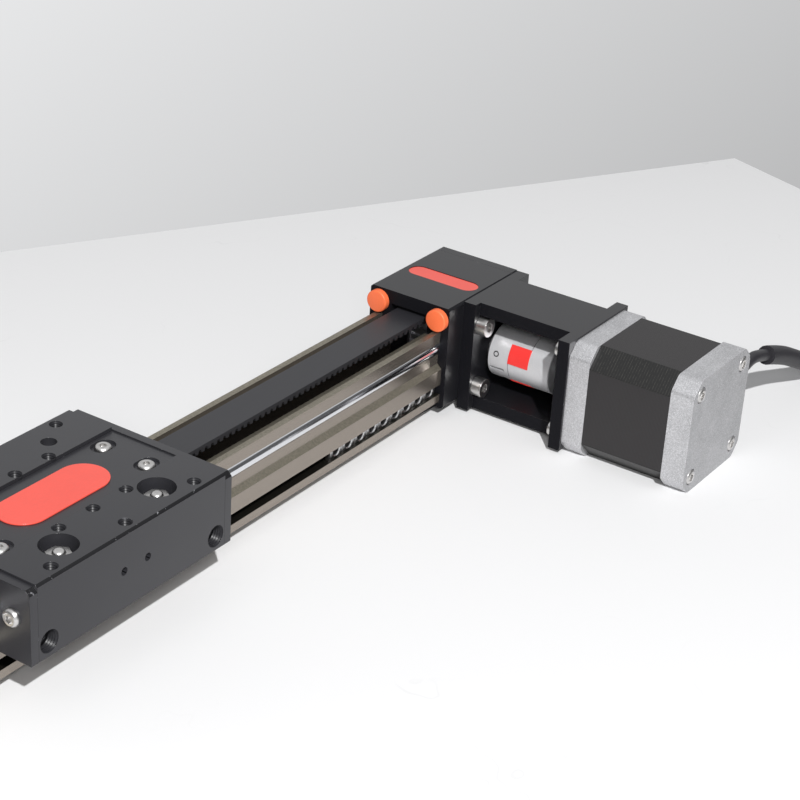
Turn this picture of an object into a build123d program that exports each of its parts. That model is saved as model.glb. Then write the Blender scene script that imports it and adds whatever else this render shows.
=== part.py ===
from build123d import *
import math
import os

os.makedirs("parts", exist_ok=True)

# Motorized linear rail: a belt loop inside an extruded rail pulls a carriage on four grooved rollers.
# +X runs along the rail to the drive head, the motor points along -Y, and the rail meets the head at
# x = 0. z = 0 is the surface that the two block pads and the motor stand on. Millimetres.

# Rail extrusion. Heights in its outline are counted from its own underside.
RAIL_LENGTH = 400.0
BASE = 4.0                      # underside of the rail and of both end blocks above the surface
RAIL_HALF = 15.0
RAIL_HEIGHT = 29.5
RAIL_CHAMFER = 2.6
RIDGE_OUT = 13.6                # the two ridges that stand beside the belt
RIDGE_IN = 10.3
RIDGE_LEDGE = 27.0
WALL_HALF = 13.2                # side wall below each guide rod
SHELF_LOW = 15.3
TUNNEL_HALF = 7.0               # belt tunnel inside the rail
FLOOR_THICK = 1.5
SLOT_LOW = 5.5                  # side T-slot, sized for M3 nuts
SLOT_HIGH = 9.3
SLOT_LIP = 1.5
SLOT_DEPTH = 4.5
SLOT_ROOM_LOW = 4.5
SLOT_ROOM_HIGH = 10.3
ROD_RADIUS = 2.5
ROD_Y = 12.1
ROD_Z = 23.3
NUT_FLATS = 5.5
NUT_THICK = 2.4
NUT_COUNT = 9
NUT_PITCH = 6.4
NUT_FIRST = -4.0

# End blocks: drive head and idler block share one section
BLOCK_HALF = 16.8
BLOCK_HEIGHT = 39.0
BLOCK_CHAMFER = 0.8
HEAD_LENGTH = 42.0
IDLER_LENGTH = 36.0
PLATE_THICK = 3.8
BELT_ROOM_HALF = 7.8
BELT_ROOM_TOP = 34.0
BELT_ROOM_FLOOR = 1.35
PAD_HALF = 12.0
PAD_REACH = 10.0                # how far each pad runs on under the rail
PAD_STOP = 1.0                  # from the pad to the outer face of its block
PAD_HOLE_PLACE = 18.0           # from the outer face to the middle of the four holes
PAD_HOLE_PITCH_X = 20.0
PAD_HOLE_PITCH_Y = 15.0
PAD_HOLE_DEPTH = 4.5
TIE_Y = 10.2
TIE_Z = 2.4
TIE_GRIP = 12.0
PLATE_SCREW_Y = 12.2
PLATE_SCREW_Z = 34.4
BUMPER_RADIUS = 4.9
BUMPER_THICK = 2.6
BUMPER_Y = 12.2
BUMPER_Z = 34.6
HEAD_LABEL_LENGTH = 28.5
HEAD_LABEL_WIDTH = 8.0
HEAD_LABEL_X = 21.3

# Belt and pulleys: 3 mm pitch
PITCH = 3.0
TEETH = 30
BELT_TEETH = 325
BELT_HALF = 6.0
BELT_THICK = 2.41
TOOTH_HEIGHT = 1.17
PITCH_TO_BACK = 0.86
PULLEY_OUTSIDE = 13.9
PULLEY_ROOT = 12.7
FLANGE_RADIUS = 15.3
FLANGE_THICK = 0.9
SHAFT_RADIUS = 4.0
BEARING_RADIUS = 8.0
BEARING_WIDTH = 5.0
IDLER_AXLE_RADIUS = 3.0
RUNNING = 0.03                  # radial play of everything that turns

# Drive axis, shared by the pulley, the coupling and the motor
AXIS_X = 26.2
AXIS_Z = 21.15

# Motor bracket, one milled block with a window towards -X
BRACKET_LOW = 1.5
BRACKET_HIGH = 43.0
FLANGE_X0 = 9.3
BRACKET_X1 = 45.3
MOTOR_PLATE_X0 = 4.3
BRACKET_FLANGE = 4.8
WEB_X0 = 12.3
WEB_X1 = 38.0
WEB_BACK = 1.5
WEB_WALL = 4.9
MOTOR_PLATE_IN = 58.1
MOTOR_PLATE_OUT = 62.6
BRACKET_SCREWS = ((13.3, 10.1, 0), (13.3, 34.0, 0), (32.7, 10.1, 1.8), (32.7, 34.0, 1.8))

# Stepper motor, 42 mm frame
MOTOR_HALF = 21.15
MOTOR_BOLT_HALF = 15.5
BELL_CHAMFER = 4.5
STACK_CHAMFER = 6.7
FRONT_BELL = 8.0
STACK = 31.0
REAR_BELL = 8.6
PILOT_RADIUS = 11.0
PILOT_LENGTH = 2.0
MOTOR_SHAFT_RADIUS = 2.5
MOTOR_SHAFT_OUT = 21.0
MOTOR_BEARING_RADIUS = 8.0
MOTOR_BEARING_WIDTH = 5.0
ROTOR_RADIUS = 12.7
BORE_RADIUS = 13.0

# Jaw coupling
COUPLING_RADIUS = 10.0
HUB_NEAR = 24.0
JAW_NEAR = 32.3
JAW_FAR = 40.6
HUB_FAR = 49.0
LEG_ANGLE = 42.0
LEG_FIRST = 69.0
SLIT_ANGLE = 202.0

# Carriage
CARRIAGE_X = -181.5
CARRIAGE_LENGTH = 79.0
CARRIAGE_HALF = 31.0
CARRIAGE_LOW = 19.8
CARRIAGE_HIGH = 44.2
GROOVE_HALF = 13.0
GROOVE_DEPTH = 1.2
COVER_THICK = 3.0
RAIL_GAP_HALF = 15.6
RAIL_GAP_TOP = 34.5
BELT_GAP_HALF = 10.8
BELT_GAP_TOP = 36.42            # presses the belt onto the clamp bars
COVER_GAP_TOP = 37.2
M5_RADIUS = 2.1
M5_DEPTH = 9.0
OUTER_HOLE_X = 30.0
OUTER_HOLE_Y = 27.0
INNER_HOLE_X = 14.0
INNER_HOLE_Y = 15.0
ROLLER_X = 20.5
ROLLER_Y = 21.0
ROLLER_RADIUS = 7.1
ROLLER_GROOVE = 2.55
ROLLER_WIDTH = 6.0
ROLLER_ROOM = 7.7
AXLE_RADIUS = 2.5
COUNTERBORE_RADIUS = 5.75
COUNTERBORE_FLOOR = 35.5
BUSH_RADIUS = 3.5
CLAMP_SCREW_X = 30.5
CLAMP_SCREW_Y = 8.5
CLAMP_LENGTH = 16.0
CLAMP_HALF = 10.0
COVER_SCREW_Y = 24.5
COVER_SCREW_Z = 33.2
SIDE_HOLE_X = 35.4
SIDE_HOLE_Z = 24.6
SIDE_TAP_X = 5.0
SIDE_TAP_Z = 32.0
LABEL_LENGTH = 40.5
LABEL_WIDTH = 16.0
LABEL_THICK = 0.5

# Motor cable
LEAD_RADIUS = 2.15
SLEEVE_RADIUS = 3.5
CABLE_Y = 106.0
CABLE_Z = 31.0
COIL_X = 190.0
COIL_Y = -150.0
COIL_MIDDLE = 38.5
COIL_TAIL = 26.0                # the last half turn, inside the coil
PLUG_LENGTH = 14.0

# Worked out from the values above
PITCH_RADIUS = TEETH * PITCH / (2 * math.pi)
BACK_RADIUS = PITCH_RADIUS + PITCH_TO_BACK
IDLER_X = AXIS_X - (BELT_TEETH - TEETH) * PITCH / 2
BELT_TOP = AXIS_Z + BACK_RADIUS
MOTOR_FRONT = -MOTOR_PLATE_OUT
STACK_FRONT = MOTOR_FRONT - FRONT_BELL
STACK_REAR = STACK_FRONT - STACK
MOTOR_REAR = STACK_REAR - REAR_BELL
FLANGE_OUT = BLOCK_HALF + BRACKET_FLANGE
ROD_HEIGHT = BASE + ROD_Z
CARRIAGE_END = CARRIAGE_LENGTH / 2
CABLE_X = AXIS_X + MOTOR_HALF
GROOVE_FLOOR = CARRIAGE_HIGH - GROOVE_DEPTH

X_AXIS = (1, 0, 0)
Y_AXIS = (0, 1, 0)
Z_AXIS = (0, 0, 1)
DOWN = (0, 0, -1)
SIDES = (-1, 1)


def save(name, shape):
    """Write one piece, or one group of like pieces, to its own STEP file."""
    shape.label = name
    export_step(shape, f"parts/{name}.step")


def group(shapes):
    """Join like pieces that do not touch into one node."""
    return Compound(children=list(shapes))


def block(x0, x1, y0, y1, z0, z1):
    """Box between two corners."""
    return Pos((x0 + x1) / 2, (y0 + y1) / 2, (z0 + z1) / 2) * Box(x1 - x0, y1 - y0, z1 - z0)


def aim(point, axis):
    """Location at a point with its own Z along an axis."""
    return Plane(origin=point, z_dir=axis).location


def rod(point, axis, radius, length):
    """Cylinder that starts at a point and runs along an axis."""
    return aim(point, axis) * Cylinder(radius, length, align=(Align.CENTER, Align.CENTER, Align.MIN))


def ring(point, axis, outer, inner, length):
    """Tube that starts at a point and runs along an axis."""
    return rod(point, axis, outer, length) - rod(point, axis, inner, length)


def hexagon(point, axis, flats, length, turn=0.0):
    """Hexagonal bar that starts at a point and runs along an axis."""
    outline = RegularPolygon(flats / 2, 6, major_radius=False, rotation=turn)
    return aim(point, axis) * extrude(outline, length)


def stadium(x, y, z0, z1, length, width, turn=0.0):
    """Upright bar with an obround outline."""
    return Pos(x, y, z0) * extrude(SlotOverall(length, width, rotation=turn), z1 - z0)


def cap_screw(point, axis, thread, head, head_height, length, socket):
    """Socket cap screw: point is under the head and axis is the way the head faces."""
    head_solid = aim(point, axis) * Cylinder(head, head_height, align=(Align.CENTER, Align.CENTER, Align.MIN))
    shank = aim(point, axis) * Pos(0, 0, -length) * Cylinder(
        thread, length, align=(Align.CENTER, Align.CENTER, Align.MIN))
    hole = aim(point, axis) * Pos(0, 0, head_height * 0.45) * extrude(
        RegularPolygon(socket / 2, 6, major_radius=False), head_height)
    return head_solid + shank - hole


def button_screw(point, axis, thread, head, head_height, length, socket):
    """Button head screw: a low dome over the same shank."""
    rise = head_height
    sphere = (head * head + rise * rise) / (2 * rise)
    dome = Pos(0, 0, rise - sphere) * Sphere(sphere)
    dome = dome & Cylinder(head, rise, align=(Align.CENTER, Align.CENTER, Align.MIN))
    shank = Pos(0, 0, -length) * Cylinder(thread, length, align=(Align.CENTER, Align.CENTER, Align.MIN))
    hole = Pos(0, 0, rise * 0.35) * extrude(RegularPolygon(socket / 2, 6, major_radius=False), rise)
    return aim(point, axis) * (dome + shank - hole)


def mirrored(points):
    """Close a half outline by its mirror image in Y."""
    return points + [(-y, z) for y, z in reversed(points)]


def along_x(points, x0, x1):
    """Extrude a closed outline of (y, z) points along X."""
    plane = Plane(origin=(x0, 0, 0), x_dir=(0, 1, 0), z_dir=(1, 0, 0))
    return extrude(plane * make_face(Polyline(*points, close=True)), x1 - x0)


def along_y(points, y0, y1):
    """Extrude a closed outline of (x, z) points along Y."""
    plane = Plane(origin=(0, y1, 0), x_dir=(1, 0, 0), z_dir=(0, -1, 0))
    return extrude(plane * make_face(Polyline(*points, close=True)), y1 - y0)


# Rail

def make_rail():
    """Extruded profile with two ridges, rod grooves, a belt tunnel and a T-slot on each side."""
    shelf_high = SHELF_LOW + RAIL_HALF - WALL_HALF
    lip = RAIL_HALF - SLOT_LIP
    back = RAIL_HALF - SLOT_DEPTH
    half = [
        (RAIL_HALF - RAIL_CHAMFER, 0), (RAIL_HALF, RAIL_CHAMFER), (RAIL_HALF, SLOT_LOW), (lip, SLOT_LOW),
        (lip, SLOT_ROOM_LOW), (back, SLOT_ROOM_LOW), (back, SLOT_ROOM_HIGH), (lip, SLOT_ROOM_HIGH),
        (lip, SLOT_HIGH), (RAIL_HALF, SLOT_HIGH), (RAIL_HALF, SHELF_LOW), (WALL_HALF, shelf_high),
        (WALL_HALF, ROD_Z), (RIDGE_OUT, ROD_Z), (RIDGE_OUT, RAIL_HEIGHT), (RIDGE_IN, RAIL_HEIGHT),
        (RIDGE_IN, RIDGE_LEDGE), (TUNNEL_HALF, RIDGE_LEDGE), (TUNNEL_HALF, FLOOR_THICK),
    ]
    outline = [(y, z + BASE) for y, z in mirrored(half)]
    rail = along_x(outline, -RAIL_LENGTH, 0)
    for side in SIDES:
        rail -= rod((-RAIL_LENGTH, side * ROD_Y, ROD_HEIGHT), X_AXIS, ROD_RADIUS, RAIL_LENGTH)
        for end in (-RAIL_LENGTH, -TIE_GRIP):
            rail -= rod((end, side * TIE_Y, BASE + TIE_Z), X_AXIS, 1.5, TIE_GRIP)
    save("rail_extrusion", rail)
    for name, side in (("guide_rod_near", -1), ("guide_rod_far", 1)):
        save(name, rod((-RAIL_LENGTH, side * ROD_Y, ROD_HEIGHT), X_AXIS, ROD_RADIUS, RAIL_LENGTH))


def make_slot_nuts():
    """Loose M3 nuts in the near T-slot, side by side next to the head."""
    y = -(RAIL_HALF - SLOT_DEPTH) - 0.3
    z = BASE + SLOT_ROOM_LOW + NUT_FLATS / 2
    nuts = []
    for index in range(NUT_COUNT):
        point = (NUT_FIRST - index * NUT_PITCH, y, z)
        nut = hexagon(point, (0, -1, 0), NUT_FLATS, NUT_THICK, 30)
        nuts.append(nut - rod(point, (0, -1, 0), 1.5, NUT_THICK))
    save("slot_nuts", group(nuts))


# End blocks

def end_block(x0, x1, face):
    """Block with a belt room, tie holes, plate holes, bumper holes and a pad below; face is the rail side."""
    low = BASE
    outer_face = x1 if face == x0 else x0
    way = 1 if face == x0 else -1
    high = BASE + BLOCK_HEIGHT
    body = block(x0, x1, -BLOCK_HALF, BLOCK_HALF, low, high)
    long_edges = body.edges().filter_by(Axis.X)
    body = chamfer(long_edges, BLOCK_CHAMFER)
    pad_x0, pad_x1 = sorted((face - way * PAD_REACH, outer_face - way * PAD_STOP))
    body += block(pad_x0, pad_x1, -PAD_HALF, PAD_HALF, 0, low)
    body -= block(x0 - 1, x1 + 1, -BELT_ROOM_HALF, BELT_ROOM_HALF, low + BELT_ROOM_FLOOR, low + BELT_ROOM_TOP)
    inward = (-way, 0, 0)
    outward = (way, 0, 0)
    pad_x = outer_face - way * PAD_HOLE_PLACE
    for side in SIDES:
        body -= rod((x0, side * TIE_Y, low + TIE_Z), X_AXIS, 1.6, x1 - x0)
        body -= rod((outer_face, side * PLATE_SCREW_Y, low + PLATE_SCREW_Z), inward, 2.0, 10)
        body -= rod((face, side * BUMPER_Y, low + BUMPER_Z), outward, 1.5, 6)
        for step in SIDES:
            point = (pad_x + step * PAD_HOLE_PITCH_X / 2, side * PAD_HOLE_PITCH_Y / 2, 0)
            body -= rod(point, Z_AXIS, 2.0, PAD_HOLE_DEPTH)
    return body


def make_head():
    """Drive head: bearing seats across it, bracket threads in its near side, a label recess on top."""
    head = end_block(0, HEAD_LENGTH, 0)
    for side in SIDES:
        inner = (AXIS_X, side * BELT_ROOM_HALF, AXIS_Z)
        head -= rod(inner, (0, side, 0), SHAFT_RADIUS + 1, BLOCK_HALF - BELT_ROOM_HALF)
        seat = (AXIS_X, side * (BLOCK_HALF - BEARING_WIDTH), AXIS_Z)
        head -= rod(seat, (0, side, 0), BEARING_RADIUS, BEARING_WIDTH + 1)
    for x, z, _ in BRACKET_SCREWS:
        head -= rod((x, -BLOCK_HALF, z), Y_AXIS, 2.0, 5.2)
    high = BASE + BLOCK_HEIGHT
    head -= stadium(HEAD_LABEL_X, 0, high - 0.8, high + 1, HEAD_LABEL_LENGTH, HEAD_LABEL_WIDTH, 90)
    save("drive_head_block", head)
    inlay = stadium(HEAD_LABEL_X, 0, high - 0.8, high - 0.2, HEAD_LABEL_LENGTH, HEAD_LABEL_WIDTH, 90)
    save("head_label_inlay", inlay)
    bearings = []
    for side in SIDES:
        seat = (AXIS_X, side * (BLOCK_HALF - BEARING_WIDTH), AXIS_Z)
        bearings.append(ring(seat, (0, side, 0), BEARING_RADIUS, SHAFT_RADIUS + RUNNING, BEARING_WIDTH))
    save("drive_bearings", group(bearings))


def make_idler_block():
    """Idler block: the axle slides in two level slots while the belt is tensioned."""
    x1 = -RAIL_LENGTH
    x0 = x1 - IDLER_LENGTH
    idler = end_block(x0, x1, x1)
    width = 2 * IDLER_AXLE_RADIUS
    travel = 8.0
    plane = Plane(origin=(IDLER_X, BLOCK_HALF, AXIS_Z), x_dir=(1, 0, 0), z_dir=(0, -1, 0))
    idler -= extrude(plane * SlotOverall(width + travel, width), 2 * BLOCK_HALF)
    for side in SIDES:
        idler -= rod((x0, side * PLATE_SCREW_Y, AXIS_Z), X_AXIS, 1.5, IDLER_X - x0)
    save("idler_block", idler)
    axle = rod((IDLER_X, -BLOCK_HALF, AXIS_Z), Y_AXIS, IDLER_AXLE_RADIUS, 2 * BLOCK_HALF)
    screws = []
    plate_face = x0 - PLATE_THICK
    tip = IDLER_X - IDLER_AXLE_RADIUS + 2
    for side in SIDES:
        point = (plate_face, side * PLATE_SCREW_Y, AXIS_Z)
        idler_hole = rod((tip, side * PLATE_SCREW_Y, AXIS_Z), (-1, 0, 0), 1.5, 5)
        axle -= idler_hole
        screws.append(cap_screw(point, (-1, 0, 0), 1.5, 2.75, 3.0, tip - plate_face, 2.5))
    save("idler_axle", axle)
    save("tension_screws", group(screws))


def end_plate(x0, extra_holes):
    """Cover plate on the outer end of a block, with clearance holes."""
    plate = block(x0, x0 + PLATE_THICK, -BLOCK_HALF, BLOCK_HALF, BASE, BASE + BLOCK_HEIGHT)
    plate = chamfer(plate.edges().filter_by(Axis.X), BLOCK_CHAMFER)
    for side in SIDES:
        plate -= rod((x0, side * TIE_Y, BASE + TIE_Z), X_AXIS, 1.6, PLATE_THICK)
        plate -= rod((x0, side * PLATE_SCREW_Y, BASE + PLATE_SCREW_Z), X_AXIS, 2.0, PLATE_THICK)
        if extra_holes:
            plate -= rod((x0, side * PLATE_SCREW_Y, AXIS_Z), X_AXIS, 1.5, PLATE_THICK)
    return plate


def make_end_plates():
    """Both cover plates with their short screws, and the long screws that tie block and rail."""
    drive_x = HEAD_LENGTH
    idler_x = -RAIL_LENGTH - IDLER_LENGTH - PLATE_THICK
    save("drive_end_plate", end_plate(drive_x, False))
    save("idler_end_plate", end_plate(idler_x, True))
    short = []
    ties = []
    ends = ((drive_x + PLATE_THICK, 1, HEAD_LENGTH), (idler_x, -1, IDLER_LENGTH))
    for outer, way, length in ends:
        for side in SIDES:
            point = (outer, side * PLATE_SCREW_Y, BASE + PLATE_SCREW_Z)
            short.append(button_screw(point, (way, 0, 0), 2.0, 3.8, 2.2, PLATE_THICK + 8, 2.5))
            point = (outer, side * TIE_Y, BASE + TIE_Z)
            reach = PLATE_THICK + length + TIE_GRIP - 1
            ties.append(button_screw(point, (way, 0, 0), 1.5, 2.3, 1.65, reach, 2.0))
    save("end_plate_screws", group(short))
    save("rail_tie_screws", group(ties))


def make_bumpers():
    """Rubber bumpers on both blocks, each a rounded disc on a stem."""
    bumpers = []
    for face, way in ((0, -1), (-RAIL_LENGTH, 1)):
        for side in SIDES:
            point = (face, side * BUMPER_Y, BASE + BUMPER_Z)
            disc = Cylinder(BUMPER_RADIUS, BUMPER_THICK, align=(Align.CENTER, Align.CENTER, Align.MIN))
            disc = fillet(disc.edges().sort_by(Axis.Z)[-1], 1.1)
            stem = Pos(0, 0, -5) * Cylinder(1.5, 5, align=(Align.CENTER, Align.CENTER, Align.MIN))
            bumpers.append(aim(point, (way, 0, 0)) * (disc + stem))
    save("end_bumpers", group(bumpers))


# Belt and pulleys

def make_belt():
    """Toothed loop: two straight runs with teeth, and a plain half turn round each pulley."""
    back = BACK_RADIUS
    root = back - (BELT_THICK - TOOTH_HEIGHT)
    tip = back - BELT_THICK
    margin = 7.5
    upper = [(IDLER_X, AXIS_Z + back), (AXIS_X, AXIS_Z + back), (AXIS_X, AXIS_Z + root)]
    count = int((AXIS_X - IDLER_X - 2 * margin) // PITCH)
    first = (AXIS_X + IDLER_X + count * PITCH) / 2
    for index in range(count):
        x = first - index * PITCH
        upper += [(x - 0.5, AXIS_Z + root), (x - 0.85, AXIS_Z + tip), (x - 2.15, AXIS_Z + tip),
                  (x - 2.5, AXIS_Z + root)]
    upper.append((IDLER_X, AXIS_Z + root))
    belt = along_y(upper, -BELT_HALF, BELT_HALF)
    belt += block(IDLER_X, AXIS_X, -BELT_HALF, BELT_HALF, AXIS_Z - back, AXIS_Z - root)
    for x, way in ((AXIS_X, 1), (IDLER_X, -1)):
        turn = ring((x, -BELT_HALF, AXIS_Z), Y_AXIS, back, root, 2 * BELT_HALF)
        reach = x + way * (back + 1)
        half = block(min(x, reach), max(x, reach), -BELT_HALF, BELT_HALF, AXIS_Z - 20, AXIS_Z + 20)
        belt += turn & half
    save("drive_belt", belt)


def toothed_wheel(x, bore):
    """Flanged belt wheel on the Y axis with trapezoid grooves."""
    points = []
    for index in range(TEETH):
        for radius, part in ((PULLEY_OUTSIDE, -0.30), (PULLEY_OUTSIDE, 0.30), (PULLEY_ROOT, 0.38),
                             (PULLEY_ROOT, 0.62)):
            angle = 2 * math.pi * (index + part) / TEETH
            points.append((x + radius * math.cos(angle), AXIS_Z + radius * math.sin(angle)))
    width = 2 * BELT_HALF + 0.8
    wheel = along_y(points, -width / 2, width / 2)
    for side in SIDES:
        wheel += rod((x, side * width / 2, AXIS_Z), (0, side, 0), FLANGE_RADIUS, FLANGE_THICK)
    return wheel - rod((x, -20, AXIS_Z), Y_AXIS, bore, 40)


def make_pulleys():
    """Drive pulley on its shaft, and the idler pulley on two bearings."""
    save("drive_pulley", toothed_wheel(AXIS_X, SHAFT_RADIUS))
    end = BLOCK_HALF - 0.6
    length = end + JAW_NEAR - 0.5
    save("drive_shaft", rod((AXIS_X, end, AXIS_Z), (0, -1, 0), SHAFT_RADIUS, length))
    save("idler_pulley", toothed_wheel(IDLER_X, 6.5))
    bearings = []
    for side in SIDES:
        point = (IDLER_X, side * 2.3, AXIS_Z)
        bearings.append(ring(point, (0, side, 0), 6.5, IDLER_AXLE_RADIUS + RUNNING, 5.0))
    save("idler_bearings", group(bearings))


# Coupling

def sector(start, angle, inner, outer, y0, y1):
    """Part of a tube round the drive axis between two angles, counted from +X towards +Z."""
    steps = max(2, int(angle // 12))
    turns = [math.radians(start + angle * index / steps) for index in range(steps + 1)]
    points = [(AXIS_X + 2 * outer * math.cos(turn), AXIS_Z + 2 * outer * math.sin(turn)) for turn in turns]
    wedge = along_y([(AXIS_X, AXIS_Z)] + points, -y1, -y0)
    return wedge & ring((AXIS_X, -y1, AXIS_Z), Y_AXIS, outer, inner, y1 - y0)


def coupling_hub(y0, y1, jaw0, jaw1, first_jaw, bore):
    """Clamping hub with two jaws, a slit and a seat for its clamp screw."""
    hub = ring((AXIS_X, -y1, AXIS_Z), Y_AXIS, COUPLING_RADIUS, bore, y1 - y0)
    for turn in (0, 180):
        hub += sector(first_jaw + turn, 90 - LEG_ANGLE, 4.6, COUPLING_RADIUS, jaw0, jaw1)
    middle = (y0 + y1) / 2
    tilt = math.radians(SLIT_ANGLE)
    along = Vector(math.cos(tilt), 0, math.sin(tilt))
    across = Vector(-math.sin(tilt), 0, math.cos(tilt)) * -1
    centre = Vector(AXIS_X, -middle, AXIS_Z)
    slit_plane = Plane(origin=centre + along * 6.5, x_dir=along, z_dir=across)
    hub -= slit_plane.location * Box(9.0, y1 - y0 - 1.6, 1.0)
    seat = centre + along * 6.4 + across * 3.4
    hub -= rod(tuple(seat), tuple(across), 2.35, 8)
    start = centre + along * 6.4 - across * 5.5
    hub -= rod(tuple(start), tuple(across), 1.25, 10)
    screw = cap_screw(tuple(seat), tuple(across), 1.25, 2.25, 2.5, 8.0, 2.0)
    return hub, screw


def make_coupling():
    """Two hubs and the elastic spider between their jaws."""
    jaw_gap = 0.3
    first = LEG_FIRST + LEG_ANGLE / 2
    near, near_screw = coupling_hub(HUB_NEAR, JAW_NEAR, JAW_NEAR, JAW_FAR - jaw_gap, first, SHAFT_RADIUS)
    far, far_screw = coupling_hub(JAW_FAR, HUB_FAR, JAW_NEAR + jaw_gap, JAW_FAR, first + 90,
                                  MOTOR_SHAFT_RADIUS)
    save("coupling_hub_drive", near)
    save("coupling_hub_motor", far)
    save("coupling_screws", group([near_screw, far_screw]))
    spider = ring((AXIS_X, -JAW_FAR, AXIS_Z), Y_AXIS, 4.6, 3.0, JAW_FAR - JAW_NEAR)
    for index in range(4):
        start = LEG_FIRST - LEG_ANGLE / 2 + 90 * index
        spider += sector(start, LEG_ANGLE, 4.4, COUPLING_RADIUS - 0.3, JAW_NEAR, JAW_FAR)
    save("coupling_spider", spider)


# Motor bracket and motor

def make_bracket():
    """Bracket block: head flange, box web with a window, and the motor plate."""
    low = BRACKET_LOW
    high = BRACKET_HIGH
    flange = block(FLANGE_X0, BRACKET_X1, -FLANGE_OUT, -BLOCK_HALF, low, high)
    web = block(WEB_X0, WEB_X1, -MOTOR_PLATE_IN, -FLANGE_OUT, low, high)
    web -= block(WEB_X0 - 1, WEB_X1 - WEB_BACK, -MOTOR_PLATE_IN, -FLANGE_OUT, low + WEB_WALL, high - WEB_WALL)
    plate = block(MOTOR_PLATE_X0, BRACKET_X1, -MOTOR_PLATE_OUT, -MOTOR_PLATE_IN, low, high)
    bracket = flange + web + plate
    bracket -= rod((AXIS_X, -FLANGE_OUT, AXIS_Z), Y_AXIS, SHAFT_RADIUS + 2, BRACKET_FLANGE)
    bracket -= rod((AXIS_X, -MOTOR_PLATE_OUT, AXIS_Z), Y_AXIS, PILOT_RADIUS, MOTOR_PLATE_OUT - MOTOR_PLATE_IN)
    screws = []
    for x, z, sunk in BRACKET_SCREWS:
        bracket -= rod((x, -FLANGE_OUT, z), Y_AXIS, 2.0, BRACKET_FLANGE)
        if sunk:
            bracket -= rod((x, -FLANGE_OUT, z), Y_AXIS, 3.65, sunk)
        seat = (x, sunk - FLANGE_OUT, z)
        screws.append(cap_screw(seat, (0, -1, 0), 2.0, 3.5, 4.0, BRACKET_FLANGE - sunk + 5, 3.0))
    save("bracket_screws", group(screws))
    screws = []
    for step in SIDES:
        for rise in SIDES:
            x = AXIS_X + step * MOTOR_BOLT_HALF
            z = AXIS_Z + rise * MOTOR_BOLT_HALF
            inner = (x, -MOTOR_PLATE_IN, z)
            bracket -= rod((x, -MOTOR_PLATE_OUT, z), Y_AXIS, 1.5, MOTOR_PLATE_OUT - MOTOR_PLATE_IN)
            bracket -= rod(inner, Y_AXIS, 3.1, 3.6)
            screws.append(cap_screw(inner, Y_AXIS, 1.5, 2.75, 3.0, 8.5, 2.5))
    save("motor_bracket", bracket)
    save("motor_screws", group(screws))


def square_bar(y0, y1, corner):
    """Square motor section with chamfered corners, between two distances from the rail."""
    bar = block(AXIS_X - MOTOR_HALF, AXIS_X + MOTOR_HALF, -y1, -y0, AXIS_Z - MOTOR_HALF, AXIS_Z + MOTOR_HALF)
    return chamfer(bar.edges().filter_by(Axis.Y), corner)


def corner_points(y):
    """The four screw places of the motor at one distance."""
    return [(AXIS_X + step * MOTOR_BOLT_HALF, y, AXIS_Z + rise * MOTOR_BOLT_HALF)
            for step in SIDES for rise in SIDES]


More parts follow.
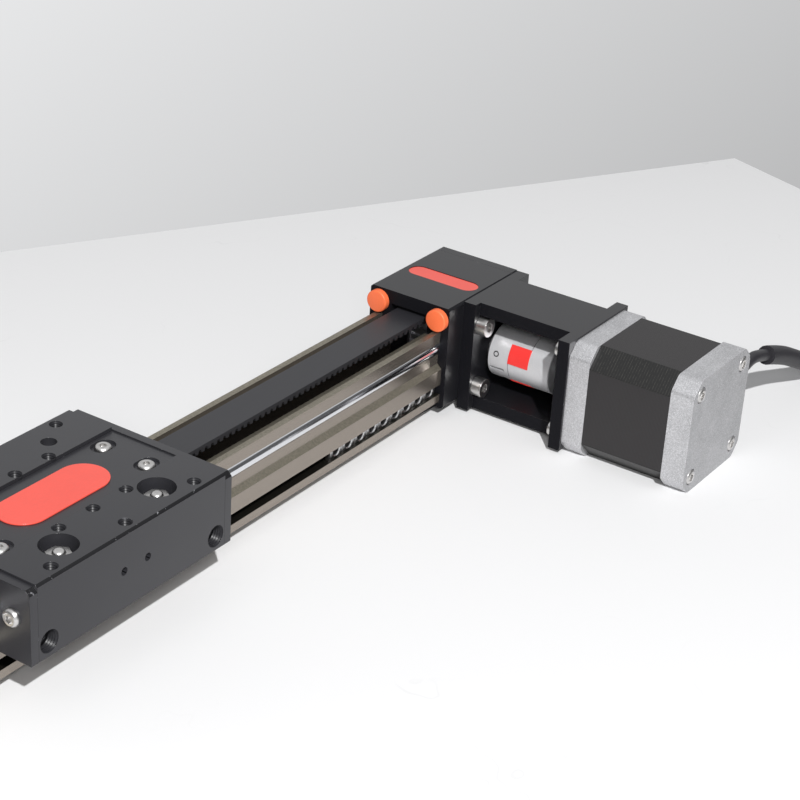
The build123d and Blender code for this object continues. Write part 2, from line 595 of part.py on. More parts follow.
def make_motor():
    """Front bell, lamination stack with windings, rear bell, bearings and long screws."""
    room = 4.0
    front = square_bar(-MOTOR_FRONT, -STACK_FRONT, BELL_CHAMFER)
    front += rod((AXIS_X, MOTOR_FRONT, AXIS_Z), Y_AXIS, PILOT_RADIUS, PILOT_LENGTH)
    front -= rod((AXIS_X, STACK_FRONT, AXIS_Z), Y_AXIS, 18.0, room)
    front -= rod((AXIS_X, STACK_FRONT + room, AXIS_Z), Y_AXIS, MOTOR_BEARING_RADIUS, MOTOR_BEARING_WIDTH)
    front -= rod((AXIS_X, STACK_FRONT, AXIS_Z), Y_AXIS, MOTOR_SHAFT_RADIUS + 1, 20)
    for point in corner_points(MOTOR_FRONT):
        front -= rod(point, (0, -1, 0), 1.5, 4.2)
    rear = square_bar(-STACK_REAR, -MOTOR_REAR, BELL_CHAMFER)
    rear -= rod((AXIS_X, STACK_REAR, AXIS_Z), (0, -1, 0), 18.0, room - 2)
    seat = STACK_REAR - room + 2
    rear -= rod((AXIS_X, seat, AXIS_Z), (0, -1, 0), MOTOR_BEARING_RADIUS, MOTOR_BEARING_WIDTH)
    stack = square_bar(-STACK_FRONT, -STACK_REAR, STACK_CHAMFER)
    stack -= rod((AXIS_X, STACK_REAR, AXIS_Z), Y_AXIS, BORE_RADIUS, STACK)
    screws = []
    head_seat = 1.2
    for point in corner_points(MOTOR_REAR + head_seat):
        rear -= rod(point, Y_AXIS, 1.5, REAR_BELL)
        rear -= rod(point, (0, -1, 0), 3.0, head_seat)
        stack -= rod((point[0], STACK_REAR, point[2]), Y_AXIS, 1.5, STACK)
        front -= rod((point[0], STACK_FRONT, point[2]), Y_AXIS, 1.5, 3.2)
        head = cap_screw(point, (0, -1, 0), 1.5, 2.75, 1.6, REAR_BELL - head_seat + STACK + 3, 1.6)
        screws.append(head)
    rear -= rod((AXIS_X + MOTOR_HALF, -CABLE_Y, CABLE_Z), (-1, 0, 0), 2.6, 6)
    save("motor_front_bell", front)
    save("motor_stator", stack)
    save("motor_rear_bell", rear)
    save("motor_rear_screws", group(screws))
    windings = [ring((AXIS_X, STACK_FRONT, AXIS_Z), Y_AXIS, 17.0, 13.6, 3.2),
                ring((AXIS_X, STACK_REAR, AXIS_Z), (0, -1, 0), 17.0, 13.6, 1.6)]
    save("motor_windings", group(windings))
    hole = MOTOR_SHAFT_RADIUS + RUNNING
    bearings = [
        ring((AXIS_X, STACK_FRONT + room, AXIS_Z), Y_AXIS, MOTOR_BEARING_RADIUS, hole, MOTOR_BEARING_WIDTH),
        ring((AXIS_X, seat, AXIS_Z), (0, -1, 0), MOTOR_BEARING_RADIUS, hole, MOTOR_BEARING_WIDTH)]
    save("motor_bearings", group(bearings))
    rotor_end = STACK_REAR + 2
    rotor = ring((AXIS_X, rotor_end, AXIS_Z), Y_AXIS, ROTOR_RADIUS, MOTOR_SHAFT_RADIUS, STACK - 4)
    save("motor_rotor", rotor)
    shaft_end = seat - MOTOR_BEARING_WIDTH + 0.3
    shaft_length = MOTOR_FRONT + MOTOR_SHAFT_OUT - shaft_end
    save("motor_shaft", rod((AXIS_X, shaft_end, AXIS_Z), Y_AXIS, MOTOR_SHAFT_RADIUS, shaft_length))


# Carriage

def rail_passage(x0, x1, half, top, belt_half, belt_top):
    """The room for the rail and the belt below a carriage piece."""
    low = CARRIAGE_LOW - 1
    room = block(x0, x1, -half, half, low, top)
    return room + block(x0, x1, -belt_half, belt_half, low, belt_top)


def make_carriage_body():
    """Milled block over the rail, with a long shallow groove on top and rooms for the rollers."""
    x0 = CARRIAGE_X - CARRIAGE_END
    x1 = CARRIAGE_X + CARRIAGE_END
    body = block(x0, x1, -CARRIAGE_HALF, CARRIAGE_HALF, CARRIAGE_LOW, CARRIAGE_HIGH)
    top_edges = body.edges().filter_by(Axis.X).group_by(Axis.Z)[-1]
    body = chamfer(top_edges, 0.7)
    body -= rail_passage(x0 - 1, x1 + 1, RAIL_GAP_HALF, RAIL_GAP_TOP, BELT_GAP_HALF, BELT_GAP_TOP)
    body -= block(x0 - 1, x1 + 1, -GROOVE_HALF, GROOVE_HALF, GROOVE_FLOOR, CARRIAGE_HIGH + 1)
    for side in SIDES:
        for step in (-1, 0, 1):
            outer = (CARRIAGE_X + step * OUTER_HOLE_X, side * OUTER_HOLE_Y, CARRIAGE_HIGH)
            body -= rod(outer, DOWN, M5_RADIUS, M5_DEPTH)
            inner = (CARRIAGE_X + step * INNER_HOLE_X, side * INNER_HOLE_Y, CARRIAGE_HIGH)
            body -= rod(inner, DOWN, M5_RADIUS, M5_DEPTH)
        for step in SIDES:
            x = CARRIAGE_X + step * ROLLER_X
            low = ROD_HEIGHT - ROLLER_WIDTH / 2 - 1
            body -= rod((x, side * ROLLER_Y, low), Z_AXIS, ROLLER_ROOM, ROLLER_WIDTH + 2)
            body -= rod((x, side * ROLLER_Y, CARRIAGE_LOW), Z_AXIS, AXLE_RADIUS, 30)
            if side < 0:
                body -= rod((x, side * ROLLER_Y, COUNTERBORE_FLOOR), Z_AXIS, COUNTERBORE_RADIUS, 20)
                body -= rod((x, side * ROLLER_Y, low), Z_AXIS, BUSH_RADIUS, COUNTERBORE_FLOOR - low)
            hole = (CARRIAGE_X + step * SIDE_HOLE_X, side * CARRIAGE_HALF, SIDE_HOLE_Z)
            body -= rod(hole, (0, -side, 0), 3.5, 6.0)
            body -= rod(hole, (0, -side, 0), 1.5, 14.0)
            tap = (CARRIAGE_X + step * SIDE_TAP_X, side * CARRIAGE_HALF, SIDE_TAP_Z)
            body -= rod(tap, (0, -side, 0), 1.25, 7.0)
            end = (CARRIAGE_X + step * CARRIAGE_END, side * COVER_SCREW_Y, COVER_SCREW_Z)
            body -= rod(end, (-step, 0, 0), 1.5, 7.0)
            clamp_x = CARRIAGE_X + step * CLAMP_SCREW_X
            clamp_y = side * CLAMP_SCREW_Y
            body -= stadium(clamp_x, clamp_y, GROOVE_FLOOR - 1.0, GROOVE_FLOOR + 2, 8.6, 6.2)
            body -= stadium(clamp_x, clamp_y, BELT_GAP_TOP - 1.0, GROOVE_FLOOR, 5.2, 2.8)
    save("carriage_body", body)


def make_carriage_covers():
    """End covers with wiper windows, their screws and the felt wipers on the rods."""
    screws = []
    wipers = []
    starts = (CARRIAGE_X - CARRIAGE_END - COVER_THICK, CARRIAGE_X + CARRIAGE_END)
    for name, x0, way in zip(("carriage_cover_idler", "carriage_cover_drive"), starts, SIDES):
        x1 = x0 + COVER_THICK
        cover = block(x0, x1, -CARRIAGE_HALF, CARRIAGE_HALF, CARRIAGE_LOW, CARRIAGE_HIGH)
        cover -= rail_passage(x0 - 1, x1 + 1, RAIL_GAP_HALF, RAIL_GAP_TOP - 0.5, 7.2, COVER_GAP_TOP)
        outer_face = x1 if way > 0 else x0
        for side in SIDES:
            y0, y1 = sorted((side * (CARRIAGE_HALF - 3), side * (CARRIAGE_HALF + 1)))
            cover -= block(x0 - 1, x1 + 1, y0, y1, CARRIAGE_HIGH - 3, CARRIAGE_HIGH + 1)
            cover -= rod((x0, side * COVER_SCREW_Y, COVER_SCREW_Z), X_AXIS, 1.5, COVER_THICK)
            y0, y1 = sorted((side * RAIL_GAP_HALF, side * (RAIL_GAP_HALF + 3)))
            window = block(x0, x1, y0, y1, ROD_HEIGHT - 3, ROD_HEIGHT + 3)
            cover -= window
            y0, y1 = sorted((side * (RIDGE_OUT + 0.5), side * (RAIL_GAP_HALF + 3)))
            felt = block(x0, x1, y0, y1, ROD_HEIGHT - 3, ROD_HEIGHT + 3)
            felt -= rod((x0, side * ROD_Y, ROD_HEIGHT), X_AXIS, ROD_RADIUS + 0.3, COVER_THICK)
            wipers.append(felt)
            point = (outer_face, side * COVER_SCREW_Y, COVER_SCREW_Z)
            screws.append(button_screw(point, (way, 0, 0), 1.5, 2.85, 1.65, COVER_THICK + 5, 2.0))
        save(name, cover)
    save("carriage_cover_screws", group(screws))
    save("rod_wipers", group(wipers))


def make_belt_clamps():
    """Clamp bars below the belt, their screws from the top, and the label plate between them."""
    bars = []
    screws = []
    bar_low = BASE + RIDGE_LEDGE + 0.4
    bar_high = BELT_TOP - BELT_THICK - 0.1
    for step in SIDES:
        x = CARRIAGE_X + step * CLAMP_SCREW_X
        half = CLAMP_LENGTH / 2
        bar = block(x - half, x + half, -CLAMP_HALF, CLAMP_HALF, bar_low, bar_high)
        for side in SIDES:
            bar -= rod((x, side * CLAMP_SCREW_Y, bar_low), Z_AXIS, 1.25, 5)
            point = (x, side * CLAMP_SCREW_Y, GROOVE_FLOOR - 1.0)
            reach = GROOVE_FLOOR - 1.0 - bar_low
            screws.append(button_screw(point, Z_AXIS, 1.25, 2.8, 1.65, reach, 2.0))
        bars.append(bar)
    save("belt_clamp_bars", group(bars))
    save("belt_clamp_screws", group(screws))
    label = stadium(CARRIAGE_X, 0, GROOVE_FLOOR, GROOVE_FLOOR + LABEL_THICK, LABEL_LENGTH, LABEL_WIDTH)
    save("carriage_label", label)


def make_side_screws():
    """Small cap screws down in the side holes of the carriage."""
    screws = []
    for side in SIDES:
        for step in SIDES:
            seat = (CARRIAGE_X + step * SIDE_HOLE_X, side * (CARRIAGE_HALF - 6.0), SIDE_HOLE_Z)
            screws.append(cap_screw(seat, (0, side, 0), 1.5, 2.75, 3.0, 7.5, 2.5))
    save("carriage_side_screws", group(screws))


def make_rollers():
    """Grooved rollers, their axles, and the eccentric bushes with nuts of the near pair."""
    fixed = []
    studs = []
    bushes = []
    nuts = []
    low = ROD_HEIGHT - ROLLER_WIDTH / 2
    for side, row in ((-1, "near"), (1, "far")):
        for step, end in ((-1, "idler"), (1, "drive")):
            x = CARRIAGE_X + step * ROLLER_X
            y = side * ROLLER_Y
            reach = ROLLER_Y - ROD_Y
            outline = make_face(Polyline((0, -3), (ROLLER_RADIUS, -3), (ROLLER_RADIUS, 3), (0, 3), close=True))
            outline -= Pos(reach, 0) * Circle(ROLLER_GROOVE)
            outline -= Pos((AXLE_RADIUS + RUNNING) / 2, 0) * Rectangle(AXLE_RADIUS + RUNNING, 8)
            wheel = revolve(Plane.XZ * outline, Axis.Z)
            save(f"roller_{row}_{end}", Pos(x, y, ROD_HEIGHT) * wheel)
            if side > 0:
                fixed.append(rod((x, y, CARRIAGE_LOW + 0.4), Z_AXIS, AXLE_RADIUS, 20.6))
                continue
            stud = rod((x, y, CARRIAGE_LOW + 0.4), Z_AXIS, AXLE_RADIUS, COUNTERBORE_FLOOR + 2.6 - CARRIAGE_LOW)
            tip = rod((x, y, COUNTERBORE_FLOOR + 2.5), Z_AXIS, 2.0, 4.6)
            tip = fillet(tip.edges().sort_by(Axis.Z)[-1], 1.2)
            studs.append(stud + tip)
            bush_low = low + ROLLER_WIDTH + 0.5
            bush = rod((x, y, bush_low), Z_AXIS, BUSH_RADIUS, COUNTERBORE_FLOOR - bush_low)
            bush += hexagon((x, y, COUNTERBORE_FLOOR), Z_AXIS, 8.0, 2.6)
            bushes.append(bush - rod((x, y, low), Z_AXIS, AXLE_RADIUS, 30))
            nut = hexagon((x, y, COUNTERBORE_FLOOR + 3.0), Z_AXIS, 7.0, 3.0)
            nuts.append(nut - rod((x, y, low), Z_AXIS, 2.0, 40))
    save("roller_axles_fixed", group(fixed))
    save("roller_axles_adjusted", group(studs))
    save("eccentric_bushes", group(bushes))
    save("axle_nuts", group(nuts))


# Cable

def lead_route():
    """Points of the thin lead from the grommet to the start of the sleeve."""
    return [(CABLE_X + 9.4, -106, 31), (CABLE_X + 13.2, -106, 31), (66, -106, 29.657), (72, -106, 27.6)]


def sleeve_route():
    """Points of the sleeved cable from the end of the thin lead to the coil."""
    return [(72, -106, 27.6), (86, -106, 22.8), (100, -106.5, 15.8), (114, -107.2, 9), (129, -107.8, 4.8),
            (146, -108.0, 3.62), (168, -108.1, 3.55), (COIL_X, -108, 3.55)]


def arc_radii(points):
    """As large an arc at each corner as its two runs allow."""
    radii = []
    for before, here, after in zip(points, points[1:], points[2:]):
        first = Vector(*here) - Vector(*before)
        second = Vector(*after) - Vector(*here)
        turn = math.radians(first.get_angle(second))
        radii.append(0.45 * min(first.length, second.length) / math.tan(turn / 2))
    return radii


def tube(points, radius):
    """Round tube along straight runs joined by tangent arcs."""
    path = FilletPolyline(*points, radius=arc_radii(points))
    start = Plane(origin=path @ 0, z_dir=path % 0)
    return sweep(start * Circle(radius), path=path), path.length


def make_cable():
    """Grommet, thin lead, sleeved cable, the coil that is put away, and its plug."""
    exit_point = (CABLE_X, -CABLE_Y, CABLE_Z)
    collar = aim(exit_point, X_AXIS) * Cylinder(3.4, 1.4, align=(Align.CENTER, Align.CENTER, Align.MIN))
    neck = Pos(0, 0, 1.4) * Cone(2.9, LEAD_RADIUS, 8, align=(Align.CENTER, Align.CENTER, Align.MIN))
    grommet = collar + aim(exit_point, X_AXIS) * neck
    grommet += rod(exit_point, (-1, 0, 0), 2.6, 4)
    save("cable_grommet", grommet)
    lead, lead_length = tube(lead_route(), LEAD_RADIUS)
    save("cable_lead", lead)
    sleeve, sleeve_length = tube(sleeve_route(), SLEEVE_RADIUS)
    save("cable_sleeve", sleeve)
    height = 2 * SLEEVE_RADIUS + 0.1
    outer = COIL_MIDDLE + 2 * SLEEVE_RADIUS
    inner = COIL_MIDDLE - 2 * SLEEVE_RADIUS
    coil = ring((COIL_X, COIL_Y, 0), Z_AXIS, outer, inner, height)
    tail_y = COIL_Y - COIL_MIDDLE + SLEEVE_RADIUS + COIL_TAIL
    start = Plane(origin=(COIL_X, tail_y - COIL_TAIL, SLEEVE_RADIUS + 0.05), z_dir=(-1, 0, 0))
    centre = Vector(COIL_X, tail_y, SLEEVE_RADIUS + 0.05)
    bend = CenterArc(centre, COIL_TAIL, -90, -180)
    coil += sweep(start * Circle(SLEEVE_RADIUS), path=bend)
    coil -= sleeve
    save("cable_coil", coil)
    plug_y = tail_y + COIL_TAIL
    plug = block(COIL_X, COIL_X + PLUG_LENGTH, plug_y - 5, plug_y + 5, 0, 7.2)
    plug -= block(COIL_X + PLUG_LENGTH - 8, COIL_X + PLUG_LENGTH, plug_y - 4, plug_y + 4, 1.2, 6.0)
    save("cable_plug", plug)
    lengths = ((lead_route(), lead_length, LEAD_RADIUS), (sleeve_route(), sleeve_length, SLEEVE_RADIUS))
    for points, length, radius in lengths:
        print("arc radii", [round(value) for value in arc_radii(points)])
        print("tube length", round(length, 1), "section volume", round(math.pi * radius ** 2 * length))


make_rail()
make_slot_nuts()
make_head()
make_idler_block()
make_end_plates()
make_bumpers()
make_belt()
make_pulleys()
make_coupling()
make_bracket()
make_motor()
make_carriage_body()
make_carriage_covers()
make_belt_clamps()
make_side_screws()
make_rollers()
make_cable()
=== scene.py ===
"""Motorized linear rail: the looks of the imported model, laid out as an add-on and run as a script."""

import math

import bmesh
import bpy
from mathutils import Matrix, Vector


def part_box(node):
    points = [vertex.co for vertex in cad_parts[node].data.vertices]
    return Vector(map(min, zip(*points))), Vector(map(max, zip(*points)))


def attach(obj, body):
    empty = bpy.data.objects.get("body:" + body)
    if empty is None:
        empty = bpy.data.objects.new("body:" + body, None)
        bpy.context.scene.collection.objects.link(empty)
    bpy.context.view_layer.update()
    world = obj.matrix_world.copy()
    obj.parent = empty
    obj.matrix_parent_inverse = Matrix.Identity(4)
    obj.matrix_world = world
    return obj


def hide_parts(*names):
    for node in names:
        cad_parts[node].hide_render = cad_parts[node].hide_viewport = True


bl_info = {
    "name": "Motorized Linear Rail",
    "version": (1, 0, 0),
    "blender": (4, 5, 0),
    "location": "3D View > Sidebar > Linear Rail",
    "description": "Dresses a belt-driven linear rail with bevelled pieces and procedural materials",
    "category": "Object",
}

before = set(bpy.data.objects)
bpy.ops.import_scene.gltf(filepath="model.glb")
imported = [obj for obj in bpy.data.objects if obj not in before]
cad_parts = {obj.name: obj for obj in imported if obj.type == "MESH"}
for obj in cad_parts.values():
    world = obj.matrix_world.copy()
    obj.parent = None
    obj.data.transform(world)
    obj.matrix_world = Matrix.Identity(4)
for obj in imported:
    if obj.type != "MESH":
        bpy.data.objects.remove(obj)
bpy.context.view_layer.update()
MM = 0.001
SMOOTH_ANGLE = math.radians(40)     # sharper edges are shaded as edges
BREAK_ANGLE = math.radians(32)      # sharper edges are broken
FLAT_ANGLE = math.radians(0.6)      # flatter edges are taken out first

# Axis shared by the pulley, the coupling and the motor
AXIS = sum(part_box("motor_shaft"), Vector()) / 2
RAIL_LOW, RAIL_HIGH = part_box("rail_extrusion")
CARRIAGE_LOW, CARRIAGE_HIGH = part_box("carriage_body")
CARRIAGE_MIDDLE = (CARRIAGE_LOW + CARRIAGE_HIGH) / 2


def mm(*lengths):
    """Lengths in metres, from millimetres."""
    return [length * MM for length in lengths]


# Shader maths


class Signal:
    """A shader socket that takes part in Python arithmetic."""

    def __init__(self, shade, socket):
        self.shade = shade
        self.socket = socket

    def _math(self, operation, first, second):
        return self.shade.node("ShaderNodeMath", {"operation": operation}, {0: first, 1: second})

    def __add__(self, other):
        return self._math("ADD", self, other)

    __radd__ = __add__

    def __sub__(self, other):
        return self._math("SUBTRACT", self, other)

    def __rsub__(self, other):
        return self._math("SUBTRACT", other, self)

    def __mul__(self, other):
        return self._math("MULTIPLY", self, other)

    __rmul__ = __mul__

    def __truediv__(self, other):
        return self._math("DIVIDE", self, other)

    def clamp(self, low=0.0, high=1.0):
        """Cut off below low and above high."""
        return self._math("MINIMUM", self._math("MAXIMUM", self, low), high)

    def fract(self):
        """What is left after the whole number."""
        return self._math("FRACT", self, 0.0)

    def absolute(self):
        """Distance from zero."""
        return self._math("ABSOLUTE", self, 0.0)

    def above(self, edge, soft):
        """0 below the edge and 1 above it, with a soft step."""
        return ((self - edge) / soft + 0.5).clamp()


class Nodes:
    """Makes the nodes of one tree."""

    def __init__(self, tree):
        self.tree = tree

    def node(self, kind, settings=None, inputs=None, output=0):
        """Make a node: its settings first, then a value or a link for each input."""
        node = self.tree.nodes.new(kind)
        for key, value in (settings or {}).items():
            setattr(node, key, value)
        for key, value in (inputs or {}).items():
            self.give(node, key, value)
        return Signal(self, node.outputs[output])

    def give(self, node, key, value):
        """Link or set one input of a node."""
        if isinstance(value, Signal):
            self.tree.links.new(value.socket, node.inputs[key])
        else:
            node.inputs[key].default_value = value


class Shade(Nodes):
    """Builds one material round a Principled shader."""

    def __init__(self, name, metallic=0.0, roughness=0.5, specular=0.5, coat=0.0, coat_roughness=0.1):
        self.material = bpy.data.materials.new(name)
        self.material.use_nodes = True
        super().__init__(self.material.node_tree)
        self.principled = self.tree.nodes["Principled BSDF"]
        self.feed("Metallic", metallic)
        self.feed("Roughness", roughness)
        self.feed("Specular IOR Level", specular)
        self.feed("Coat Weight", coat)
        self.feed("Coat Roughness", coat_roughness)
        self.place = self.node("ShaderNodeTexCoord", output="Object")

    def axes(self):
        """The X, Y and Z of Object coordinates, in metres."""
        split = self.node("ShaderNodeSeparateXYZ", None, {0: self.place}).socket.node
        return [Signal(self, output) for output in split.outputs]

    def stretched(self, x, y, z):
        """Object coordinates multiplied along each axis."""
        return self.node("ShaderNodeVectorMath", {"operation": "MULTIPLY"}, {0: self.place, 1: (x, y, z)})

    def noise(self, scale, detail=2.0, roughness=0.5, vector=None):
        """Noise from 0 to 1."""
        return self.node("ShaderNodeTexNoise", None, {
            "Vector": vector or self.place, "Scale": scale, "Detail": detail, "Roughness": roughness})

    def blend(self, factor, first, second):
        """A colour between two colours."""
        return self.node("ShaderNodeMix", {"data_type": "RGBA"}, {
            "Factor": factor, 6: first, 7: second}, output=2)

    def colour(self, value):
        """Set the base colour to a link or a plain colour."""
        self.feed("Base Color", value)

    def tint(self, factor, colour, dark, light):
        """Let the base colour vary between a darker and a lighter share of one colour."""
        self.colour(self.blend(factor, rgb(colour, dark), rgb(colour, light)))

    def feed(self, name, value):
        """Link or set one of the shader's inputs."""
        self.give(self.principled, name, value)

    def bump(self, height, distance):
        """Surface relief, as a height from 0 to 1 times a distance in millimetres."""
        self.feed("Normal", self.node("ShaderNodeBump", None, {"Height": height, "Distance": distance * MM}))


def rgb(colour, share=1.0):
    """Four-value colour, made lighter or darker by a share."""
    return tuple(min(1.0, value * share) for value in colour[:3]) + (1.0,)


# Materials


def anodised(name, colour, roughness, grain):
    """Anodised aluminium: dark where it is seen square on, with a sheen at a slant, and a fine grain."""
    shade = Shade(name, specular=0.06, coat_roughness=roughness - 0.06)
    facing = shade.node("ShaderNodeLayerWeight", None, {"Blend": 0.5}, output="Facing")
    sheen_start, sheen_rise = 0.28, 0.25
    shade.feed("Coat Weight", ((facing - sheen_start) / sheen_rise).clamp())
    clouds = shade.noise(60.0, 3.0)
    fine = shade.noise(grain, 2.0, 0.6)
    shade.tint((clouds * 0.5 + fine * 0.5).clamp(), colour, 0.85, 1.15)
    shade.feed("Roughness", fine * 0.16 + (roughness - 0.08))
    shade.bump(fine, 0.02)
    return shade.material


def polished_edge(name, colour):
    """A thin edge where a tool left the finish brighter, broken into short stretches."""
    shade = Shade(name, specular=0.4)
    worn = shade.noise(420.0, 3.0, 0.7).above(0.655, 0.05)
    bare_metal = (0.30, 0.30, 0.32, 1.0)
    shade.colour(shade.blend(worn, rgb(colour), bare_metal))
    shade.feed("Metallic", worn * 0.6)
    shade.feed("Roughness", worn * 0.1 + 0.2)
    return shade.material


def extruded(name, colour):
    """Anodised extrusion: fine draw lines run along X, and level faces are mottled and painted greener and a
    little darker.
    """
    shade = Shade(name, metallic=0.8)
    lines = shade.noise(1.0, 3.0, 0.6, shade.stretched(4.0, 2600.0, 2600.0))
    mottle = shade.noise(1600.0, 3.0, 0.7)
    facing = shade.node("ShaderNodeNewGeometry", output="Normal")
    flat = shade.node("ShaderNodeSeparateXYZ", None, {0: facing}, output="Z").above(0.55, 0.1)
    drawn = shade.blend(lines, rgb(colour, 0.88), rgb(colour, 1.14))
    # Level faces: the mottle is the surface's own; the greener, slightly darker tone is painted shade for
    # how the tops take the light.
    green = (colour[0] * 1.02, colour[1] * 1.06, colour[2] * 0.98)
    shaded_tops = shade.blend(mottle.above(0.5, 0.5), rgb(green, 0.62), rgb(green, 1.25))
    shade.colour(shade.blend(flat, drawn, shaded_tops))
    shade.feed("Roughness", lines * 0.10 + flat * 0.14 + 0.20)
    shade.bump(lines * 0.5 + mottle * flat * 0.5, 0.01)
    return shade.material


def metal(name, colour, roughness, grain):
    """Bare metal with fine lines along the axis on which the grain is coarsest."""
    shade = Shade(name, metallic=1.0)
    lines = shade.noise(1.0, 3.0, 0.6, shade.stretched(*grain))
    shade.tint(lines, colour, 0.92, 1.08)
    shade.feed("Roughness", lines * 0.14 + (roughness - 0.05))
    shade.bump(lines, 0.006)
    return shade.material


def blasted_casting(name, colour):
    """Die-cast aluminium, blasted: bright specks over a soft grey."""
    shade = Shade(name, metallic=0.6)
    grain = shade.noise(1900.0, 3.0, 0.75)
    specks = shade.noise(3600.0, 1.0).above(0.62, 0.08)
    clouds = shade.noise(130.0, 3.0)
    base = shade.blend((grain * 0.75 + clouds * 0.25).above(0.5, 0.4), rgb(colour, 0.66), rgb(colour, 1.24))
    shade.colour(shade.blend(specks * 0.55, base, rgb(colour, 1.8)))
    shade.feed("Roughness", grain * 0.2 + 0.33)
    shade.bump(grain, 0.05)
    return shade.material


def laminations(name, colour, pitch):
    """Stack of thin sheets under lacquer: fine lines across Y, and painted glints on slanted rows at the
    corners.
    """
    shade = Shade(name, specular=0.45)
    x, y, z = shade.axes()
    line = ((y / pitch).fract() - 0.5).absolute() * 2
    edge = line.above(0.55, 0.5)
    mottle = shade.noise(1.0, 3.0, 0.7, shade.stretched(900.0, 1900.0, 900.0))
    corner_reach, corner_step = mm(35.2, 0.6)
    corner = ((x - AXIS.x).absolute() + (z - AXIS.z).absolute()).above(corner_reach, corner_step)
    slant = (((y + (z - x) * 0.9) / (pitch * 2)).fract() - 0.5).absolute() * 2
    # Painted glints: a lighter colour on slanted rows at the corners.
    glint = slant.above(0.80, 0.3) * mottle.above(0.52, 0.25) * corner
    tone = (edge * 0.5 + mottle * 0.5).clamp()
    lacquer = shade.blend(tone, rgb(colour, 0.65), rgb(colour, 1.35))
    dark_corner, painted_glint = (0.007, 0.007, 0.007, 1.0), (0.10, 0.095, 0.085, 1.0)
    shade.colour(shade.blend(glint * 0.4, shade.blend(corner, lacquer, dark_corner), painted_glint))
    shade.feed("Roughness", mottle * 0.2 + 0.34)
    shade.bump(edge * 0.7 + mottle * 0.3, 0.02)
    return shade.material


def moulded(name, colour, roughness, grain=1800.0, coat=0.0):
    """Moulded plastic or rubber with a faint grain."""
    shade = Shade(name, roughness=roughness, coat=coat, coat_roughness=0.15)
    fine = shade.noise(grain, 3.0, 0.6)
    clouds = shade.noise(120.0, 2.0)
    shade.tint((fine * 0.5 + clouds * 0.5).clamp(), colour, 0.9, 1.1)
    shade.feed("Roughness", fine * 0.14 + (roughness - 0.07))
    shade.bump(fine, 0.03)
    return shade.material


def belt_back(name, colour):
    """Smooth belt back with a faint lengthwise weave."""
    shade = Shade(name)
    threads = shade.noise(1.0, 2.0, 0.5, shade.stretched(120.0, 1500.0, 1500.0))
    fine = shade.noise(3000.0, 2.0)
    tone = (threads * 0.6 + fine * 0.4).clamp()
    shade.tint(tone, colour, 0.88, 1.12)
    shade.feed("Roughness", fine * 0.12 + 0.36)
    shade.bump(tone, 0.01)
    return shade.material


def sleeve(name, colour, pitch):
    """Cable sleeve: rubber with a rough grain of one pitch."""
    shade = Shade(name, specular=0.4)
    fine = shade.noise(1.0, 2.0, 0.6, shade.stretched(1.0 / pitch, 1.0 / pitch, 1.0 / pitch))
    clouds = shade.noise(90.0, 2.0)
    shade.tint((fine * 0.6 + clouds * 0.4).clamp(), colour, 0.75, 1.25)
    shade.feed("Roughness", fine * 0.2 + 0.42)
    shade.bump(fine, 0.08)
    return shade.material


def table_top(name, colour, roughness):
    """A pale table top with a few hair-thin scratches."""
    shade = Shade(name, roughness=roughness, specular=0.3)
    line = 1 - (shade.noise(9.0, 4.0, 0.6) - 0.5).absolute().above(0.0016, 0.0012)
    where = shade.noise(17.0, 2.0).above(0.6, 0.1)
    shade.tint(line * where * 0.13, colour, 1.0, 0.5)
    return shade.material


def satin(name):
    """Blasted aluminium, neither matt nor bright."""
    shade = Shade(name, metallic=0.35)
    fine = shade.noise(2200.0, 2.0, 0.6)
    clouds = shade.noise(160.0, 3.0)
    dark, light = (0.52, 0.52, 0.535, 1.0), (0.68, 0.68, 0.695, 1.0)
    shade.colour(shade.blend(fine * 0.6 + clouds * 0.4, dark, light))
    shade.feed("Roughness", fine * 0.16 + 0.36)
    shade.bump(fine, 0.02)
    return shade.material


def zinc(name):
    """Bright zinc plating."""
    shade = Shade(name, metallic=1.0, roughness=0.32)
    dark, light = (0.50, 0.50, 0.50, 1.0), (0.72, 0.72, 0.73, 1.0)
    shade.colour(shade.blend(shade.noise(900.0, 3.0), dark, light))
    shade.bump(shade.noise(1800.0, 2.0), 0.01)
    return shade.material


def cut_thread(name):
    """Anodised thread whose crests catch the light."""
    shade = Shade(name, specular=0.18, roughness=0.34)
    dark, light = (0.010, 0.010, 0.012, 1.0), (0.030, 0.030, 0.034, 1.0)
    shade.colour(shade.blend(shade.noise(700.0, 2.0), dark, light))
    return shade.material


# Finishes that several pieces share

EVEN = (900.0, 900.0, 900.0)
ALONG_X = (30.0, 3000.0, 3000.0)
ALONG_Y = (2600.0, 60.0, 2600.0)
ROUND_Y = (60.0, 2600.0, 60.0)

# Colour, roughness and grain of the bare metals
METALS = {
    "Screw Steel": ((0.62, 0.61, 0.60), 0.3, EVEN),
    "Black Oxide": ((0.06, 0.06, 0.065), 0.35, EVEN),
    "Ground Steel": ((0.78, 0.79, 0.82), 0.12, ALONG_X),
    "Bearing Steel": ((0.55, 0.56, 0.58), 0.22, ALONG_X),
    "Turned Aluminium": ((0.72, 0.72, 0.74), 0.34, ROUND_Y),
    "Enamelled Copper": ((0.55, 0.22, 0.09), 0.35, ROUND_Y),
    "Rotor Iron": ((0.30, 0.30, 0.31), 0.4, ALONG_Y),
}


def once(build, name, *values):
    """The material of that name, built the first time it is asked for."""
    return bpy.data.materials.get(name) or build(name, *values)


def black_pair():
    """Black anodising and its broken edges."""
    return [once(anodised, "Black Anodised", finish().black, 0.42, 2600.0),
            once(polished_edge, "Black Edge", finish().black)]


def inlay_red():
    """Red enamel."""
    return once(moulded, "Inlay Red", finish().inlay, 0.35, 900.0, 0.3)


def stock(name):
    """One of the bare metals."""
    return once(metal, name, *METALS[name])


def satin_aluminium():
    """Blasted aluminium of the coupling."""
    return once(satin, "Satin Aluminium")


# Meshes


def placed(name, data):
    """A new object in the scene."""
    item = bpy.data.objects.new(name, data)
    bpy.context.scene.collection.objects.link(item)
    return item


